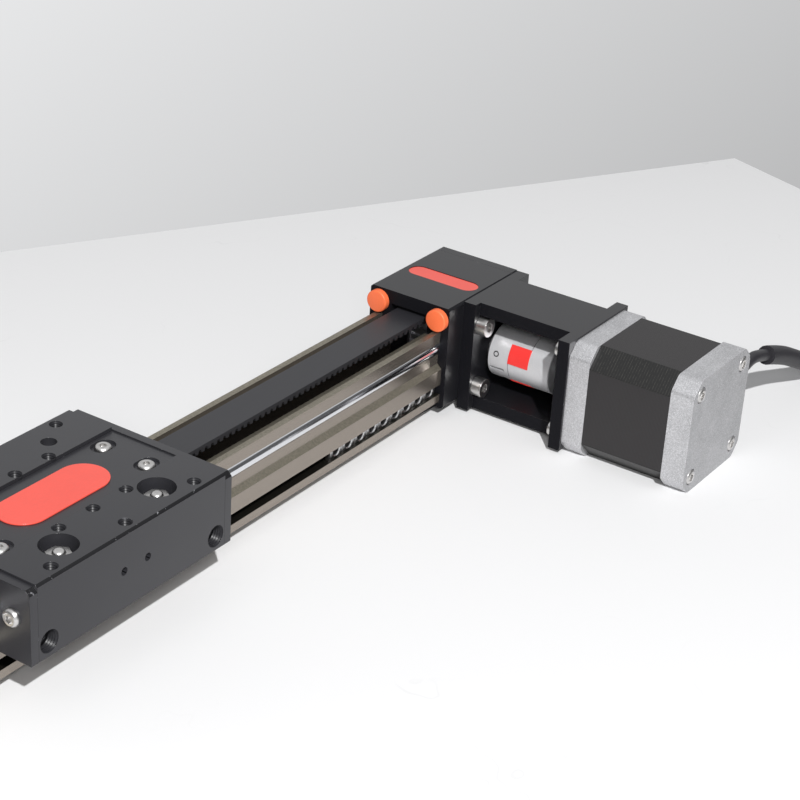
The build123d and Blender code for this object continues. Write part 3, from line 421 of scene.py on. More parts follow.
def make_object(name, bm, body, materials):
    """Turn a bmesh into a piece that rides on a body."""
    mesh = bpy.data.meshes.new(name)
    bm.to_mesh(mesh)
    bm.free()
    for material in materials:
        mesh.materials.append(material)
    mesh.shade_smooth()
    mesh.set_sharp_from_angle(angle=SMOOTH_ANGLE)
    piece = placed(name, mesh)
    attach(piece, body)
    return piece


def merged(node):
    """A bmesh of a CAD node with its loose triangles joined."""
    bm = bmesh.new()
    bm.from_mesh(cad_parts[node].data)
    bmesh.ops.remove_doubles(bm, verts=bm.verts, dist=0.002 * MM)
    return bm


def stand_in(node, bm, body, materials):
    """Turn a bmesh into the piece that is seen where a CAD node lies."""
    piece = make_object(node + "_dressed", bm, body, materials)
    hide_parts(node)
    return piece


def join_flat(bm):
    """Take out the edges between faces in one plane."""
    bmesh.ops.dissolve_limit(bm, angle_limit=FLAT_ANGLE, verts=bm.verts, edges=bm.edges)


def break_edges(bm, edges, width, segments, mark=-1):
    """Bevel some edges by one width; mark is the material of the new faces, or -1 for their neighbours'."""
    bmesh.ops.bevel(bm, geom=edges, offset=width, offset_type="OFFSET", segments=segments, profile=0.5,
                    affect="EDGES", clamp_overlap=True, material=mark)


def bevelled(node, body, width, materials, segments=2, reshape=None, mark=1):
    """Put a copy of a CAD node with merged vertices and broken edges in its place."""
    bm = merged(node)
    if reshape:
        reshape(bm)
    join_flat(bm)
    sharp = [edge for edge in bm.edges if edge.is_manifold and edge.calc_face_angle(0.0) > BREAK_ANGLE]
    break_edges(bm, sharp, width, segments, mark if len(materials) > 1 else -1)
    piece = stand_in(node, bm, body, materials)
    piece.modifiers.new("weights", "WEIGHTED_NORMAL").keep_sharp = True


def mark_faces(bm, wanted):
    """Give the second material to each face that is wanted for its middle and its normal."""
    for face in bm.faces:
        if wanted(face.calc_center_median(), face.normal):
            face.material_index = 1


def new_vertices(result):
    """The vertices that an extrusion made."""
    return [item for item in result["geom"] if isinstance(item, bmesh.types.BMVert)]


def solids(node):
    """Middle and half size of each separate solid of a CAD node."""
    bm = merged(node)
    bm.verts.index_update()
    boxes = []
    seen = set()
    for start in bm.verts:
        if start.index in seen:
            continue
        seen.add(start.index)
        reached = [start]
        for vertex in reached:
            for edge in vertex.link_edges:
                other = edge.other_vert(vertex)
                if other.index not in seen:
                    seen.add(other.index)
                    reached.append(other)
        low, high = (Vector([pick(vertex.co[axis] for vertex in reached) for axis in range(3)])
                     for pick in (min, max))
        boxes.append(((low + high) / 2, (high - low) / 2))
    bm.free()
    return boxes


def face_outwards(bm, faces):
    """Turn the faces of a closed shell outwards."""
    bmesh.ops.recalc_face_normals(bm, faces=faces)
    if sum(face.calc_center_median().dot(face.normal) * face.calc_area() for face in faces) < 0:
        bmesh.ops.reverse_faces(bm, faces=faces)


def turned(bm, place, axis, rings, closed=False, segments=48):
    """Bridge rings of (radius, height, corners) along an axis, where no corners means round.

    The rings are bridged one above the other, and then move to their own heights.
    """
    made = []
    loops = []
    for step, (radius, _, corners) in enumerate(rings):
        circle = bmesh.ops.create_circle(bm, segments=segments, radius=radius,
                                         matrix=Matrix.Translation((0, 0, step * MM)))["verts"]
        for vertex in circle if corners else ():
            side = 2 * math.pi / corners
            turn = math.atan2(vertex.co.y, vertex.co.x) % side - side / 2
            share = math.cos(side / 2) / math.cos(turn)
            vertex.co.x *= share
            vertex.co.y *= share
        loops.append(list(dict.fromkeys(edge for vertex in circle for edge in vertex.link_edges)))
        made += circle
    pairs = list(zip(loops, loops[1:] + loops[:1]))
    for lower, upper in pairs if closed else pairs[:-1]:
        bmesh.ops.bridge_loops(bm, edges=lower + upper)
    for step, (_, height, _) in enumerate(rings):
        for vertex in made[step * segments:(step + 1) * segments]:
            vertex.co.z = height
    for loop in () if closed else (loops[0], loops[-1]):
        bmesh.ops.contextual_create(bm, geom=loop)
    turn = Vector((0, 0, 1)).rotation_difference(Vector(axis)).to_matrix().to_4x4()
    bmesh.ops.transform(bm, matrix=Matrix.Translation(place) @ turn, verts=made)
    face_outwards(bm, list(dict.fromkeys(face for vertex in made for face in vertex.link_faces)))
    return made


def button_screws(node, body, way, radius, height, flats, deep):
    """Screws with low rounded heads and hexagonal sockets; way gives a screw's direction from its middle."""
    head = ((0.97, 0), (1, 0.1), (1, 0.3), (0.96, 0.55), (0.86, 0.8), (0.75, 0.95), (0.64, 1))
    shank, lead_in, corner = radius * 0.5, 0.12 * MM, flats / 2 / math.cos(math.pi / 6)
    socket = [(corner * 1.1, height, 0), (corner, height - lead_in, 6), (corner, height - deep, 6),
              (corner * 0.3, height - deep * 1.2, 6)]
    bm = bmesh.new()
    for middle, half in solids(node):
        axis = way(middle)
        reach = max(half.x * abs(axis.x), half.y * abs(axis.y), half.z * abs(axis.z))
        rings = [(shank, height - 2 * reach, 0), (shank, 0, 0)]
        rings += [(radius * across, height * up, 0) for across, up in head]
        turned(bm, middle + axis * (reach - height), axis, rings + socket)
    stand_in(node, bm, body, [stock("Screw Steel")])


def trim(body, material, *nodes):
    """Break the edges of small pieces of one material."""
    for node in nodes:
        bevelled(node, body, sizes().fine_edge, [material])


def repaint(material, *nodes):
    """Keep the nodes' own meshes and give them a material."""
    for node in nodes:
        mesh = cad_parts[node].data
        mesh.materials.clear()
        mesh.materials.append(material)


# Settings that a user would change


def paint(name, what, default):
    """A colour that can be set."""
    return bpy.props.FloatVectorProperty(name=name, description="Colour of " + what, subtype="COLOR", size=3,
                                         default=default, min=0.0, max=1.0)


def span(name, description, default, low, high):
    """A length that can be set, given in millimetres."""
    return bpy.props.FloatProperty(name=name, description=description, unit="LENGTH", precision=5,
                                   default=default * MM, min=low * MM, max=high * MM)


class RailFinish(bpy.types.PropertyGroup):
    """Colours of the finishes."""

    black: paint("Black Anodising", "the end blocks and the motor bracket", (0.008, 0.008, 0.010))
    carriage: paint("Carriage", "the carriage block", (0.028, 0.028, 0.032))
    champagne: paint("Rail", "the extruded rail", (0.29, 0.255, 0.22))
    bumper: paint("Bumpers", "the rubber bumpers", (0.93, 0.175, 0.06))
    inlay: paint("Inlays", "the two enamelled inlays", (0.90, 0.10, 0.07))
    spider: paint("Coupling Spider", "the elastic part of the coupling", (0.80, 0.035, 0.03))
    casting: paint("Motor Bells", "the cast motor bells", (0.53, 0.53, 0.545))
    belt: paint("Belt", "the toothed belt", (0.024, 0.024, 0.028))
    cable: paint("Cable", "the cable's sleeve", (0.018, 0.017, 0.021))


class RailSizes(bpy.types.PropertyGroup):
    """Sizes of the edges and of the cable."""

    edge: span("Edge Break", "Width of the broken edges on the machined blocks", 0.25, 0.05, 0.6)
    fine_edge: span("Fine Edge Break", "Width of the broken edges on small parts", 0.12, 0.02, 0.3)
    sheet_pitch: span("Lamination Pitch", "Distance between the lines on the motor's stack", 0.5, 0.2, 1.0)
    cable_diameter: span("Cable Diameter", "Diameter of the sleeved cable", 7.0, 3.0, 7.0)


def finish():
    """The chosen colours."""
    return bpy.context.scene.rail_finish


def sizes():
    """The chosen sizes."""
    return bpy.context.scene.rail_sizes


# Operators


class OBJECT_OT_rail_stage(bpy.types.Operator):
    """Floor, wall, lamps and camera"""

    bl_idname = "object.rail_stage"
    bl_label = "Rail Stage"

    def execute(self, context):
        """Place the camera where the photographer stood, and light the rail from its left."""
        self.camera(context)
        self.surfaces()
        self.lamps()
        self.room(context)
        return {"FINISHED"}

    @staticmethod
    def camera(context):
        """The camera, from its place, its three angles and its focal length."""
        place = Vector((-0.55255, -0.35431, 0.33898))
        azimuth, elevation, roll = (math.radians(angle) for angle in (-57.22, 27.18, 3.63))
        focal_pixels, picture_width, sensor = 2043.34, 800, 36.0
        look = Vector((-math.sin(azimuth) * math.cos(elevation), math.cos(azimuth) * math.cos(elevation),
                       -math.sin(elevation)))
        level = Vector((math.cos(azimuth), math.sin(azimuth), 0))
        upright = level.cross(look)
        right = level * math.cos(roll) + upright * math.sin(roll)
        up = upright * math.cos(roll) - level * math.sin(roll)
        data = bpy.data.cameras.new("camera")
        data.sensor_width = sensor
        data.lens = focal_pixels * sensor / picture_width
        camera = placed("camera", data)
        axes = Matrix((right, up, -look)).transposed().to_4x4()
        camera.matrix_world = Matrix.Translation(place) @ axes
        context.scene.camera = camera

    @staticmethod
    def surfaces():
        """A table top whose far corner stands behind the motor."""
        corner = Vector((0.320, 0.024, 0))
        left, near = Vector((-0.869, 0.495, 0)), Vector((-0.36, -0.93, 0))
        reach, thick = 2.6, 0.03
        bm = bmesh.new()
        for place in (corner, corner + left * reach, corner + (left + near) * reach, corner + near * reach):
            bm.verts.new(place)
        top = bmesh.ops.contextual_create(bm, geom=bm.verts)["faces"]
        sides = bmesh.ops.extrude_face_region(bm, geom=top)
        bmesh.ops.translate(bm, verts=new_vertices(sides), vec=(0, 0, -thick))
        bmesh.ops.recalc_face_normals(bm, faces=bm.faces)
        mesh = bpy.data.meshes.new("table")
        bm.to_mesh(mesh)
        bm.free()
        mesh.materials.append(table_top("Table Top", (0.88, 0.88, 0.885), 0.6))
        table = placed("table", mesh)

    @staticmethod
    def lamps():
        """A small, strong key lamp and a weak, wide one beside the camera."""
        target = Vector((-0.02, -0.04, 0.02))

        def area(name, direction, distance, size, power):
            """A round lamp at a distance from the target, facing it."""
            data = bpy.data.lights.new(name, "AREA")
            data.shape = "DISK"
            data.size = size
            data.energy = power
            lamp = placed(name, data)
            lamp.location = target + Vector(direction).normalized() * distance
            lamp.rotation_euler = (lamp.location - target).to_track_quat("Z", "Y").to_euler()

        area("key", direction=(-12.3, -12.1, 15.8), distance=2.0, size=0.04, power=40.5)
        area("fill", direction=(-0.55, -0.35, 0.36), distance=1.4, size=0.3, power=3.4)

    @staticmethod
    def room(context):
        """Pale walls for the camera, a room that is darker behind it for gloss, and a low even light."""
        world = bpy.data.worlds.new("room")
        world.use_nodes = True
        sky = Nodes(world.node_tree)
        heading = sky.node("ShaderNodeTexCoord", output="Generated")
        path = sky.node("ShaderNodeLightPath").socket.node.outputs
        seen = Signal(sky, path["Is Camera Ray"])
        mirrored = Signal(sky, path["Is Glossy Ray"]) + Signal(sky, path["Is Transmission Ray"])

        def towards(direction):
            """How far a ray heads in one direction, from -1 to 1."""
            return sky.node("ShaderNodeVectorMath", {"operation": "DOT_PRODUCT"},
                            {0: heading, 1: direction}, output="Value")

        wall = towards((-0.565, 0.823, -0.056)) * 0.594 + towards((0.349, 0.300, 0.888)) * 0.805 + 0.539
        ceiling = towards((0, 0, 1)).above(0.54, 0.06) * 0.64
        walls = ((towards((0.55, 0.83, 0)) * 1.2 - 0.1).clamp(0.12, 0.62) + ceiling).clamp(0.12, 0.76)
        background = world.node_tree.nodes["Background"]
        sky.give(background, "Color", (0.985, 0.99, 1.0, 1.0))
        ambient = 0.26
        level = seen * wall.clamp(0.3, 0.9) + mirrored * walls + (1 - (seen + mirrored).clamp()) * ambient
        sky.give(background, "Strength", level)
        context.scene.world = world
        context.scene.view_settings.view_transform = "Standard"


class OBJECT_OT_rail_cable(bpy.types.Operator):
    """Cable: strain relief, sleeved cable with its coil, tie and plug"""

    bl_idname = "object.rail_cable"
    bl_label = "Motor Cable"

    SLEEVE = ((72, -106, 27.6), (86, -106, 22.8), (100, -106.5, 15.8), (114, -107.2, 9), (129, -107.8, 4.8),
              (146, -108, 3.62), (168, -108.1, 3.55), (190, -108, 3.55))
    COIL_CENTRE = (190.0, -150.0, 3.55)
    OUTER_TURN = 42.0
    INNER_TURN = 35.0
    TAIL = 26.0
    TURNS = 1.5
    INWARD_FROM = 0.72      # share of the first turn that keeps to the outer radius
    POINTS_PER_TURN = 16

    def route(self):
        """The sleeve's own points, then one and a half turns and the half turn inside them, in metres."""

        def on_circle(centre, radius, angle):
            return centre + Vector((radius * math.cos(angle), radius * math.sin(angle), 0))

        centre = Vector(self.COIL_CENTRE)
        points = [Vector(point) for point in self.SLEEVE]
        count = self.POINTS_PER_TURN
        for step in range(1, int(self.TURNS * count) + 1):
            turns = step / count
            inward = min(max((turns - self.INWARD_FROM) / (1 - self.INWARD_FROM), 0.0), 1.0)
            inward = inward * inward * (3 - 2 * inward)
            radius = self.OUTER_TURN + (self.INNER_TURN - self.OUTER_TURN) * inward
            points.append(on_circle(centre, radius, math.pi / 2 - 2 * math.pi * turns))
        tail = centre + Vector((0, self.TAIL - self.INNER_TURN, 0))
        half = count // 2
        for step in range(1, half + 1):
            points.append(on_circle(tail, self.TAIL, -math.pi / 2 - math.pi * step / half))
        return [point * MM for point in points]

    def execute(self, context):
        """Lay the cable along its route and put the tie and the plug on it."""
        points = self.route()
        data = bpy.data.curves.new("motor_cable", "CURVE")
        data.dimensions = "3D"
        data.resolution_u = 6
        spline = data.splines.new("NURBS")
        spline.points.add(len(points) - 1)
        for item, point in zip(spline.points, points):
            item.co = (*point, 1.0)
        spline.order_u = 3
        spline.use_endpoint_u = True
        line = placed("cable_line", data)
        context.view_layer.update()
        traced = bpy.data.meshes.new_from_object(line.evaluated_get(context.evaluated_depsgraph_get()))
        ends = ([traced.vertices[index].co for index in edge.vertices] for edge in traced.edges)
        length = sum((first - second).length for first, second in ends)
        bpy.data.objects.remove(line)
        data.bevel_depth = sizes().cable_diameter / 2
        data.bevel_resolution = 5
        data.use_fill_caps = True
        data.materials.append(sleeve("Cable Sleeve", finish().cable, 0.4 * MM))
        cable = placed("motor_cable", data)
        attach(cable, "frame")
        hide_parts("cable_sleeve", "cable_coil")
        tie = self.tie()
        repaint(moulded("Plug Nylon", (0.72, 0.70, 0.62), 0.45), "cable_plug")
        repaint(moulded("Lead Rubber", finish().cable, 0.45), "cable_lead")
        repaint(moulded("Grommet Rubber", finish().cable, 0.5), "cable_grommet")
        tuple(points[0])
        return {"FINISHED"}

    def tie(self):
        """A flat strap round both turns of the coil."""
        middle = (self.OUTER_TURN + self.INNER_TURN) / 2
        centre = Vector(self.COIL_CENTRE) + Vector((middle, 0, 0))
        half_width, half_height, band, thick, squareness = 7.9, 4.4, 1.6, 0.8, 0.55

        def squared(value):
            return math.copysign(abs(value) ** squareness, value)

        bm = bmesh.new()
        bmesh.ops.create_circle(bm, segments=24, radius=1.0)
        for vertex in bm.verts:
            angle = math.atan2(vertex.co.y, vertex.co.x)
            height = max(squared(math.sin(angle)) * half_height, thick - self.COIL_CENTRE[2])
            vertex.co = Vector((squared(math.cos(angle)) * half_width, -band, height))
        ring = bmesh.ops.extrude_edge_only(bm, edges=bm.edges)
        bmesh.ops.translate(bm, verts=new_vertices(ring), vec=(0, 2 * band, 0))
        bmesh.ops.recalc_face_normals(bm, faces=bm.faces)
        bmesh.ops.solidify(bm, geom=bm.faces, thickness=-thick)
        bmesh.ops.translate(bm, verts=bm.verts, vec=centre)
        bmesh.ops.scale(bm, verts=bm.verts, vec=(MM, MM, MM))
        bmesh.ops.recalc_face_normals(bm, faces=bm.faces)
        strap = make_object("coil_tie", bm, "frame", [moulded("Tie Nylon", (0.03, 0.03, 0.03), 0.4)])
        return strap


class OBJECT_OT_rail_profile(bpy.types.Operator):
    """Rail extrusion, guide rods and slot nuts"""

    bl_idname = "object.rail_profile"
    bl_label = "Rail"

    def execute(self, context):
        """Dress the rail, its rods and the nuts in its slot."""
        champagne = extruded("Champagne Anodised", finish().champagne)
        # Painted shade: a copy of the anodising at 0.12 of its colour for the faces inside the side slots.
        slot_shade = extruded("Slot Painted Shade", rgb(finish().champagne, 0.12))
        bevelled("rail_extrusion", "frame", sizes().fine_edge, [champagne, slot_shade],
                 reshape=self.shape_rail, mark=-1)
        repaint(stock("Ground Steel"), "guide_rod_near", "guide_rod_far")
        self.nuts()
        return {"FINISHED"}

    @staticmethod
    def shape_rail(bm):
        """Mark the faces inside the two side slots for the darker copy of the anodising, which is painted
        shade, and move the ridges' inner sides away from the belt.
        """
        lip, back = RAIL_HIGH.y - 0.2 * MM, RAIL_HIGH.y - 4.6 * MM
        floor, roof = RAIL_LOW.z + 4.4 * MM, RAIL_LOW.z + 10.4 * MM
        mark_faces(bm, lambda middle, normal: (back < abs(middle.y) < lip and floor < middle.z < roof
                                               and abs(normal.x) < 0.5))
        inner, wanted, ledge = 10.3 * MM, 11.3 * MM, RAIL_HIGH.z - 2.6 * MM
        for vertex in bm.verts:
            if abs(abs(vertex.co.y) - inner) < 0.1 * MM and vertex.co.z > ledge:
                vertex.co.y = math.copysign(wanted, vertex.co.y)

    @staticmethod
    def nuts():
        """Loose square nuts side by side in the near slot, from the head on."""
        half_width, half_height, thick, bore, rim = mm(3.45, 2.85, 2.2, 1.75, 0.35)
        first, pitch, play = mm(-4.2, 7.0, 0.3)
        low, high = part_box("slot_nuts")
        middle = (low.z + high.z) / 2
        corner = half_width * math.sqrt(2)
        rings = ((bore, 0, 0), (corner - rim, 0, 4), (corner, rim, 4), (corner, thick - rim, 4),
                 (corner - rim, thick, 4), (bore + rim, thick, 0), (bore, thick - rim, 0))
        upright = Matrix.Rotation(math.radians(45), 4, "Y")
        bm = bmesh.new()
        for index in range(len(solids("slot_nuts"))):
            place = Vector((first - pitch * index, high.y - play, middle))
            nut = turned(bm, place, (0, -1, 0), rings, closed=True)
            bmesh.ops.rotate(bm, verts=nut, cent=place, matrix=upright)
        for vertex in bm.verts:
            vertex.co.z = min(max(vertex.co.z, middle - half_height), middle + half_height)
        stand_in("slot_nuts", bm, "frame", [zinc("Zinc Plate")])


class OBJECT_OT_rail_blocks(bpy.types.Operator):
    """End blocks, cover plates, bumpers and screws"""

    bl_idname = "object.rail_blocks"
    bl_label = "End Blocks"

    def execute(self, context):
        """Dress both end blocks and what is screwed to them."""
        for node in ("drive_head_block", "idler_block"):
            bevelled(node, "frame", sizes().edge, black_pair(), reshape=self.slim_pad)
        for node in ("drive_end_plate", "idler_end_plate"):
            bevelled(node, "frame", 2 * sizes().edge, black_pair())
        trim("frame", inlay_red(), "head_label_inlay")
        self.bumpers()
        trim("frame", stock("Black Oxide"), "end_plate_screws", "rail_tie_screws")
        trim("frame", stock("Screw Steel"), "tension_screws")
        repaint(stock("Ground Steel"), "idler_axle")
        repaint(stock("Bearing Steel"), "drive_bearings", "idler_bearings")
        return {"FINISHED"}

    @staticmethod
    def slim_pad(bm):
        """Draw in the end of the pad that runs on under the rail."""
        half, slim, near = mm(12.0, 8.0, 0.05)
        middle = (RAIL_LOW.x + RAIL_HIGH.x) / 2
        pad = [vertex for vertex in bm.verts
               if abs(abs(vertex.co.y) - half) < near and vertex.co.z < RAIL_LOW.z + near]
        places = [abs(vertex.co.x - middle) for vertex in pad]
        inner, outer = min(places), max(places)
        for vertex, place in zip(pad, places):
            share = (place - inner) / (outer - inner)
            vertex.co.y = math.copysign(slim + (half - slim) * share, vertex.co.y)

    @staticmethod
    def bumpers():
        """Rubber discs with rounded edges, each on a stem in its block."""
        radius, thick, edge, stem, deep = mm(4.1, 2.65, 0.55, 1.5, 5.0)
        apart, drop = mm(12.6, 0.4)
        steps = 4
        rings = [(stem, -deep, 0), (stem, 0, 0), (radius - edge / 2, 0, 0), (radius, edge / 2, 0)]
        for step in range(steps + 1):
            turn = math.pi / 2 * step / steps
            rings.append((radius - edge * (1 - math.cos(turn)), thick - edge * (1 - math.sin(turn)), 0))
        bm = bmesh.new()
        for middle, _ in solids("end_bumpers"):
            face, way = (RAIL_HIGH.x, -1) if middle.x > CARRIAGE_MIDDLE.x else (RAIL_LOW.x, 1)
            place = Vector((face, math.copysign(apart, middle.y), middle.z - drop))
            turned(bm, place, (way, 0, 0), rings)
        stand_in("end_bumpers", bm, "frame", [moulded("Bumper Rubber", finish().bumper, 0.45)])


class OBJECT_OT_rail_drive(bpy.types.Operator):
    """Bracket, coupling, shafts and pulleys"""

    bl_idname = "object.rail_drive"
    bl_label = "Drive"

    RADIUS = 10.0 * MM
    INSIDE_RIM = 9.0 * MM
    JAW = 8.0 * MM
    JAW_ANGLE = 48.0
    JAW_INNER = 4.6 * MM
    DRIVE_SLIT = 199.5      # angles round the drive axis, in degrees
    MOTOR_SLIT = 289.5
    SET_SCREW = 167.5

    def execute(self, context):
        """Dress the bracket and everything that turns with the motor."""
        bevelled("motor_bracket", "frame", sizes().edge, black_pair())
        trim("frame", stock("Screw Steel"), "bracket_screws", "motor_screws")
        self.hub("coupling_hub_drive", 1, 4.0 * MM, (90, 270), self.DRIVE_SLIT)
        self.hub("coupling_hub_motor", -1, 2.5 * MM, (0, 180), self.MOTOR_SLIT)
        spider = moulded("Spider Red", finish().spider, 0.4, 1500.0)
        bevelled("coupling_spider", "drive_train", sizes().edge, [spider], reshape=self.proud_legs)
        self.coupling_screws()
        repaint(satin_aluminium(), "drive_shaft")
        repaint(stock("Ground Steel"), "motor_shaft")
        repaint(stock("Turned Aluminium"), "drive_pulley", "idler_pulley")
        return {"FINISHED"}

    @staticmethod
    def outward(angle):
        """The direction away from the drive axis at an angle in degrees."""
        turn = math.radians(angle)
        return Vector((math.cos(turn), 0, math.sin(turn)))

    def hub(self, node, way, bore, jaws, slit):
        """A clamping hub: way is where its plain side faces, and jaws and slit are angles in degrees."""
        low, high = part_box(node)
        outer = high.y if way > 0 else low.y
        length = high.y - low.y - self.JAW
        edge, slit_depth, slit_reach = sizes().edge, 5 * MM, 3
        slit_start, slit_end = 0.9 * MM, length - 1.6 * MM
        rings = [(bore, 0, 0), (self.RADIUS - edge, 0, 0)]
        rings += [(self.RADIUS, height, 0) for height in (edge, slit_start, slit_end, length)]
        rings += [(self.JAW_INNER, length, 0), (bore, length, 0)]
        bm = bmesh.new()
        turned(bm, Vector((AXIS.x, outer, AXIS.z)), (0, -way, 0), rings, closed=True, segments=120)

        def faces_at(height, near, reach, wanted):
            """Faces at a height over the plain side, beyond a reach and at a wanted angle."""
            for face in bm.faces:
                place = face.calc_center_median()
                angle = math.degrees(math.atan2(place.z - AXIS.z, place.x - AXIS.x)) % 360
                if (abs(place.y - outer + way * height) < near and wanted(angle)
                        and math.hypot(place.x - AXIS.x, place.z - AXIS.z) > reach):
                    yield face

        def push(faces, vec):
            """Move some faces and join them to the rest by new sides."""
            moved = bmesh.ops.extrude_face_region(bm, geom=faces)
            bmesh.ops.delete(bm, geom=faces, context="FACES_ONLY")
            bmesh.ops.translate(bm, verts=new_vertices(moved), vec=vec)

        def on_jaw(angle):
            return any(first < angle < first + self.JAW_ANGLE for first in jaws)

        def on_slit(angle):
            return abs(angle - slit) < slit_reach

        push(list(faces_at(length, 0.01 * MM, self.JAW_INNER, on_jaw)), Vector((0, -way * self.JAW, 0)))
        middle = (slit_start + slit_end) / 2
        push(list(faces_at(middle, 0.1 * MM, self.INSIDE_RIM, on_slit)), self.outward(slit) * -slit_depth)
        face_outwards(bm, bm.faces[:])
        stand_in(node, bm, "drive_train", [satin_aluminium()])

    def proud_legs(self, bm):
        """Let the spider's legs stand a little over the hubs."""
        proud = 0.25 * MM
        for vertex in bm.verts:
            place = vertex.co - AXIS
            reach = math.hypot(place.x, place.z)
            if reach > self.INSIDE_RIM:
                share = (self.RADIUS + proud) / reach
                vertex.co.x = AXIS.x + place.x * share
                vertex.co.z = AXIS.z + place.z * share

    def coupling_screws(self):
        """Each hub's clamp screw, and the small socket screw in the side of the drive hub."""
        bm = bmesh.new()

        def screw(place, axis, rings):
            """A screw from rings in millimetres."""
            rings = [(radius * MM, height * MM, corners) for radius, height, corners in rings]
            turned(bm, place, axis, rings)

        drive_end, motor_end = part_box("coupling_hub_drive")[1].y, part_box("coupling_hub_motor")[0].y
        off_axis, off_slit = mm(6.4, 3.4)
        for y, slit in ((drive_end - 5.8 * MM, self.DRIVE_SLIT), (motor_end + 4.2 * MM, self.MOTOR_SLIT)):
            across = self.outward(slit + 90)
            place = Vector((AXIS.x, y, AXIS.z)) + self.outward(slit) * off_axis + across * off_slit
            screw(place, across, ((1.25, -8, 0), (1.25, 0, 0), (2.25, 0, 0), (2.25, 2.3, 0), (2.1, 2.5, 0),
                                  (1.2, 2.5, 6), (1.2, 1.2, 6)))
        out = self.outward(self.SET_SCREW)
        screw(Vector((AXIS.x, drive_end - 3.3 * MM, AXIS.z)) + out * self.RADIUS, out,
              ((1.1, -5.0, 0), (1.1, 0.0, 0), (1.05, 0.04, 0), (0.8, 0.04, 6), (0.8, -1.2, 6)))
        stand_in("coupling_screws", bm, "drive_train", [stock("Black Oxide")])


class OBJECT_OT_rail_motor(bpy.types.Operator):
    """Motor bells, stack, rotor and windings"""

    bl_idname = "object.rail_motor"
    bl_label = "Motor"

    def execute(self, context):
        """Dress the stepper motor."""
        edge = 0.6 * MM
        casting = blasted_casting("Blasted Casting", finish().casting)
        # Painted shade: a darker copy of the casting for the rear bell's outer face.
        shaded_end = blasted_casting("Casting End Shade", rgb(finish().casting, 0.72))
        bevelled("motor_front_bell", "frame", edge, [casting], segments=3, reshape=self.round_corners)
        bevelled("motor_rear_bell", "frame", edge, [casting, shaded_end], segments=3,
                 reshape=self.face_end, mark=0)
        stack = laminations("Laminations", (0.019, 0.017, 0.018), sizes().sheet_pitch)
        bevelled("motor_stator", "frame", sizes().edge, [stack])
        button_screws("motor_rear_screws", "frame", lambda middle: Vector((0, -1, 0)),
                      radius=2.7 * MM, height=1.6 * MM, flats=2.5 * MM, deep=0.9 * MM)
        repaint(stock("Enamelled Copper"), "motor_windings")
        repaint(stock("Rotor Iron"), "motor_rotor")
        repaint(stock("Bearing Steel"), "motor_bearings")
        return {"FINISHED"}

    def face_end(self, bm):
        """Round the corners of the rear bell and mark its outer face for the darker copy of the casting,
        which is painted shade.
        """
        self.round_corners(bm)
        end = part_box("motor_rear_bell")[0].y
        mark_faces(bm, lambda middle, normal: abs(middle.y - end) < 0.05 * MM)

    @staticmethod
    def round_corners(bm):
        """Round the long corners of a bell."""
        join_flat(bm)
        side, corner, rounding = mm(21.1, 14, 1.03)
        corners = []
        for edge in bm.edges:
            start, end = (vertex.co for vertex in edge.verts)
            lengthwise = abs((end - start).normalized().y) > 0.999
            out = (start + end) / 2 - AXIS
            outside = max(abs(out.x), abs(out.z)) > side and min(abs(out.x), abs(out.z)) > corner
            if lengthwise and outside and edge.is_manifold:
                corners.append(edge)
        break_edges(bm, corners, rounding, 4)


class OBJECT_OT_rail_belt(bpy.types.Operator):
    """Toothed belt"""

    bl_idname = "object.rail_belt"
    bl_label = "Belt"

    def execute(self, context):
        """Dress the toothed belt."""
        back = belt_back("Belt Back", finish().belt)
        bevelled("drive_belt", "frame", sizes().fine_edge, [back], segments=1)
        return {"FINISHED"}


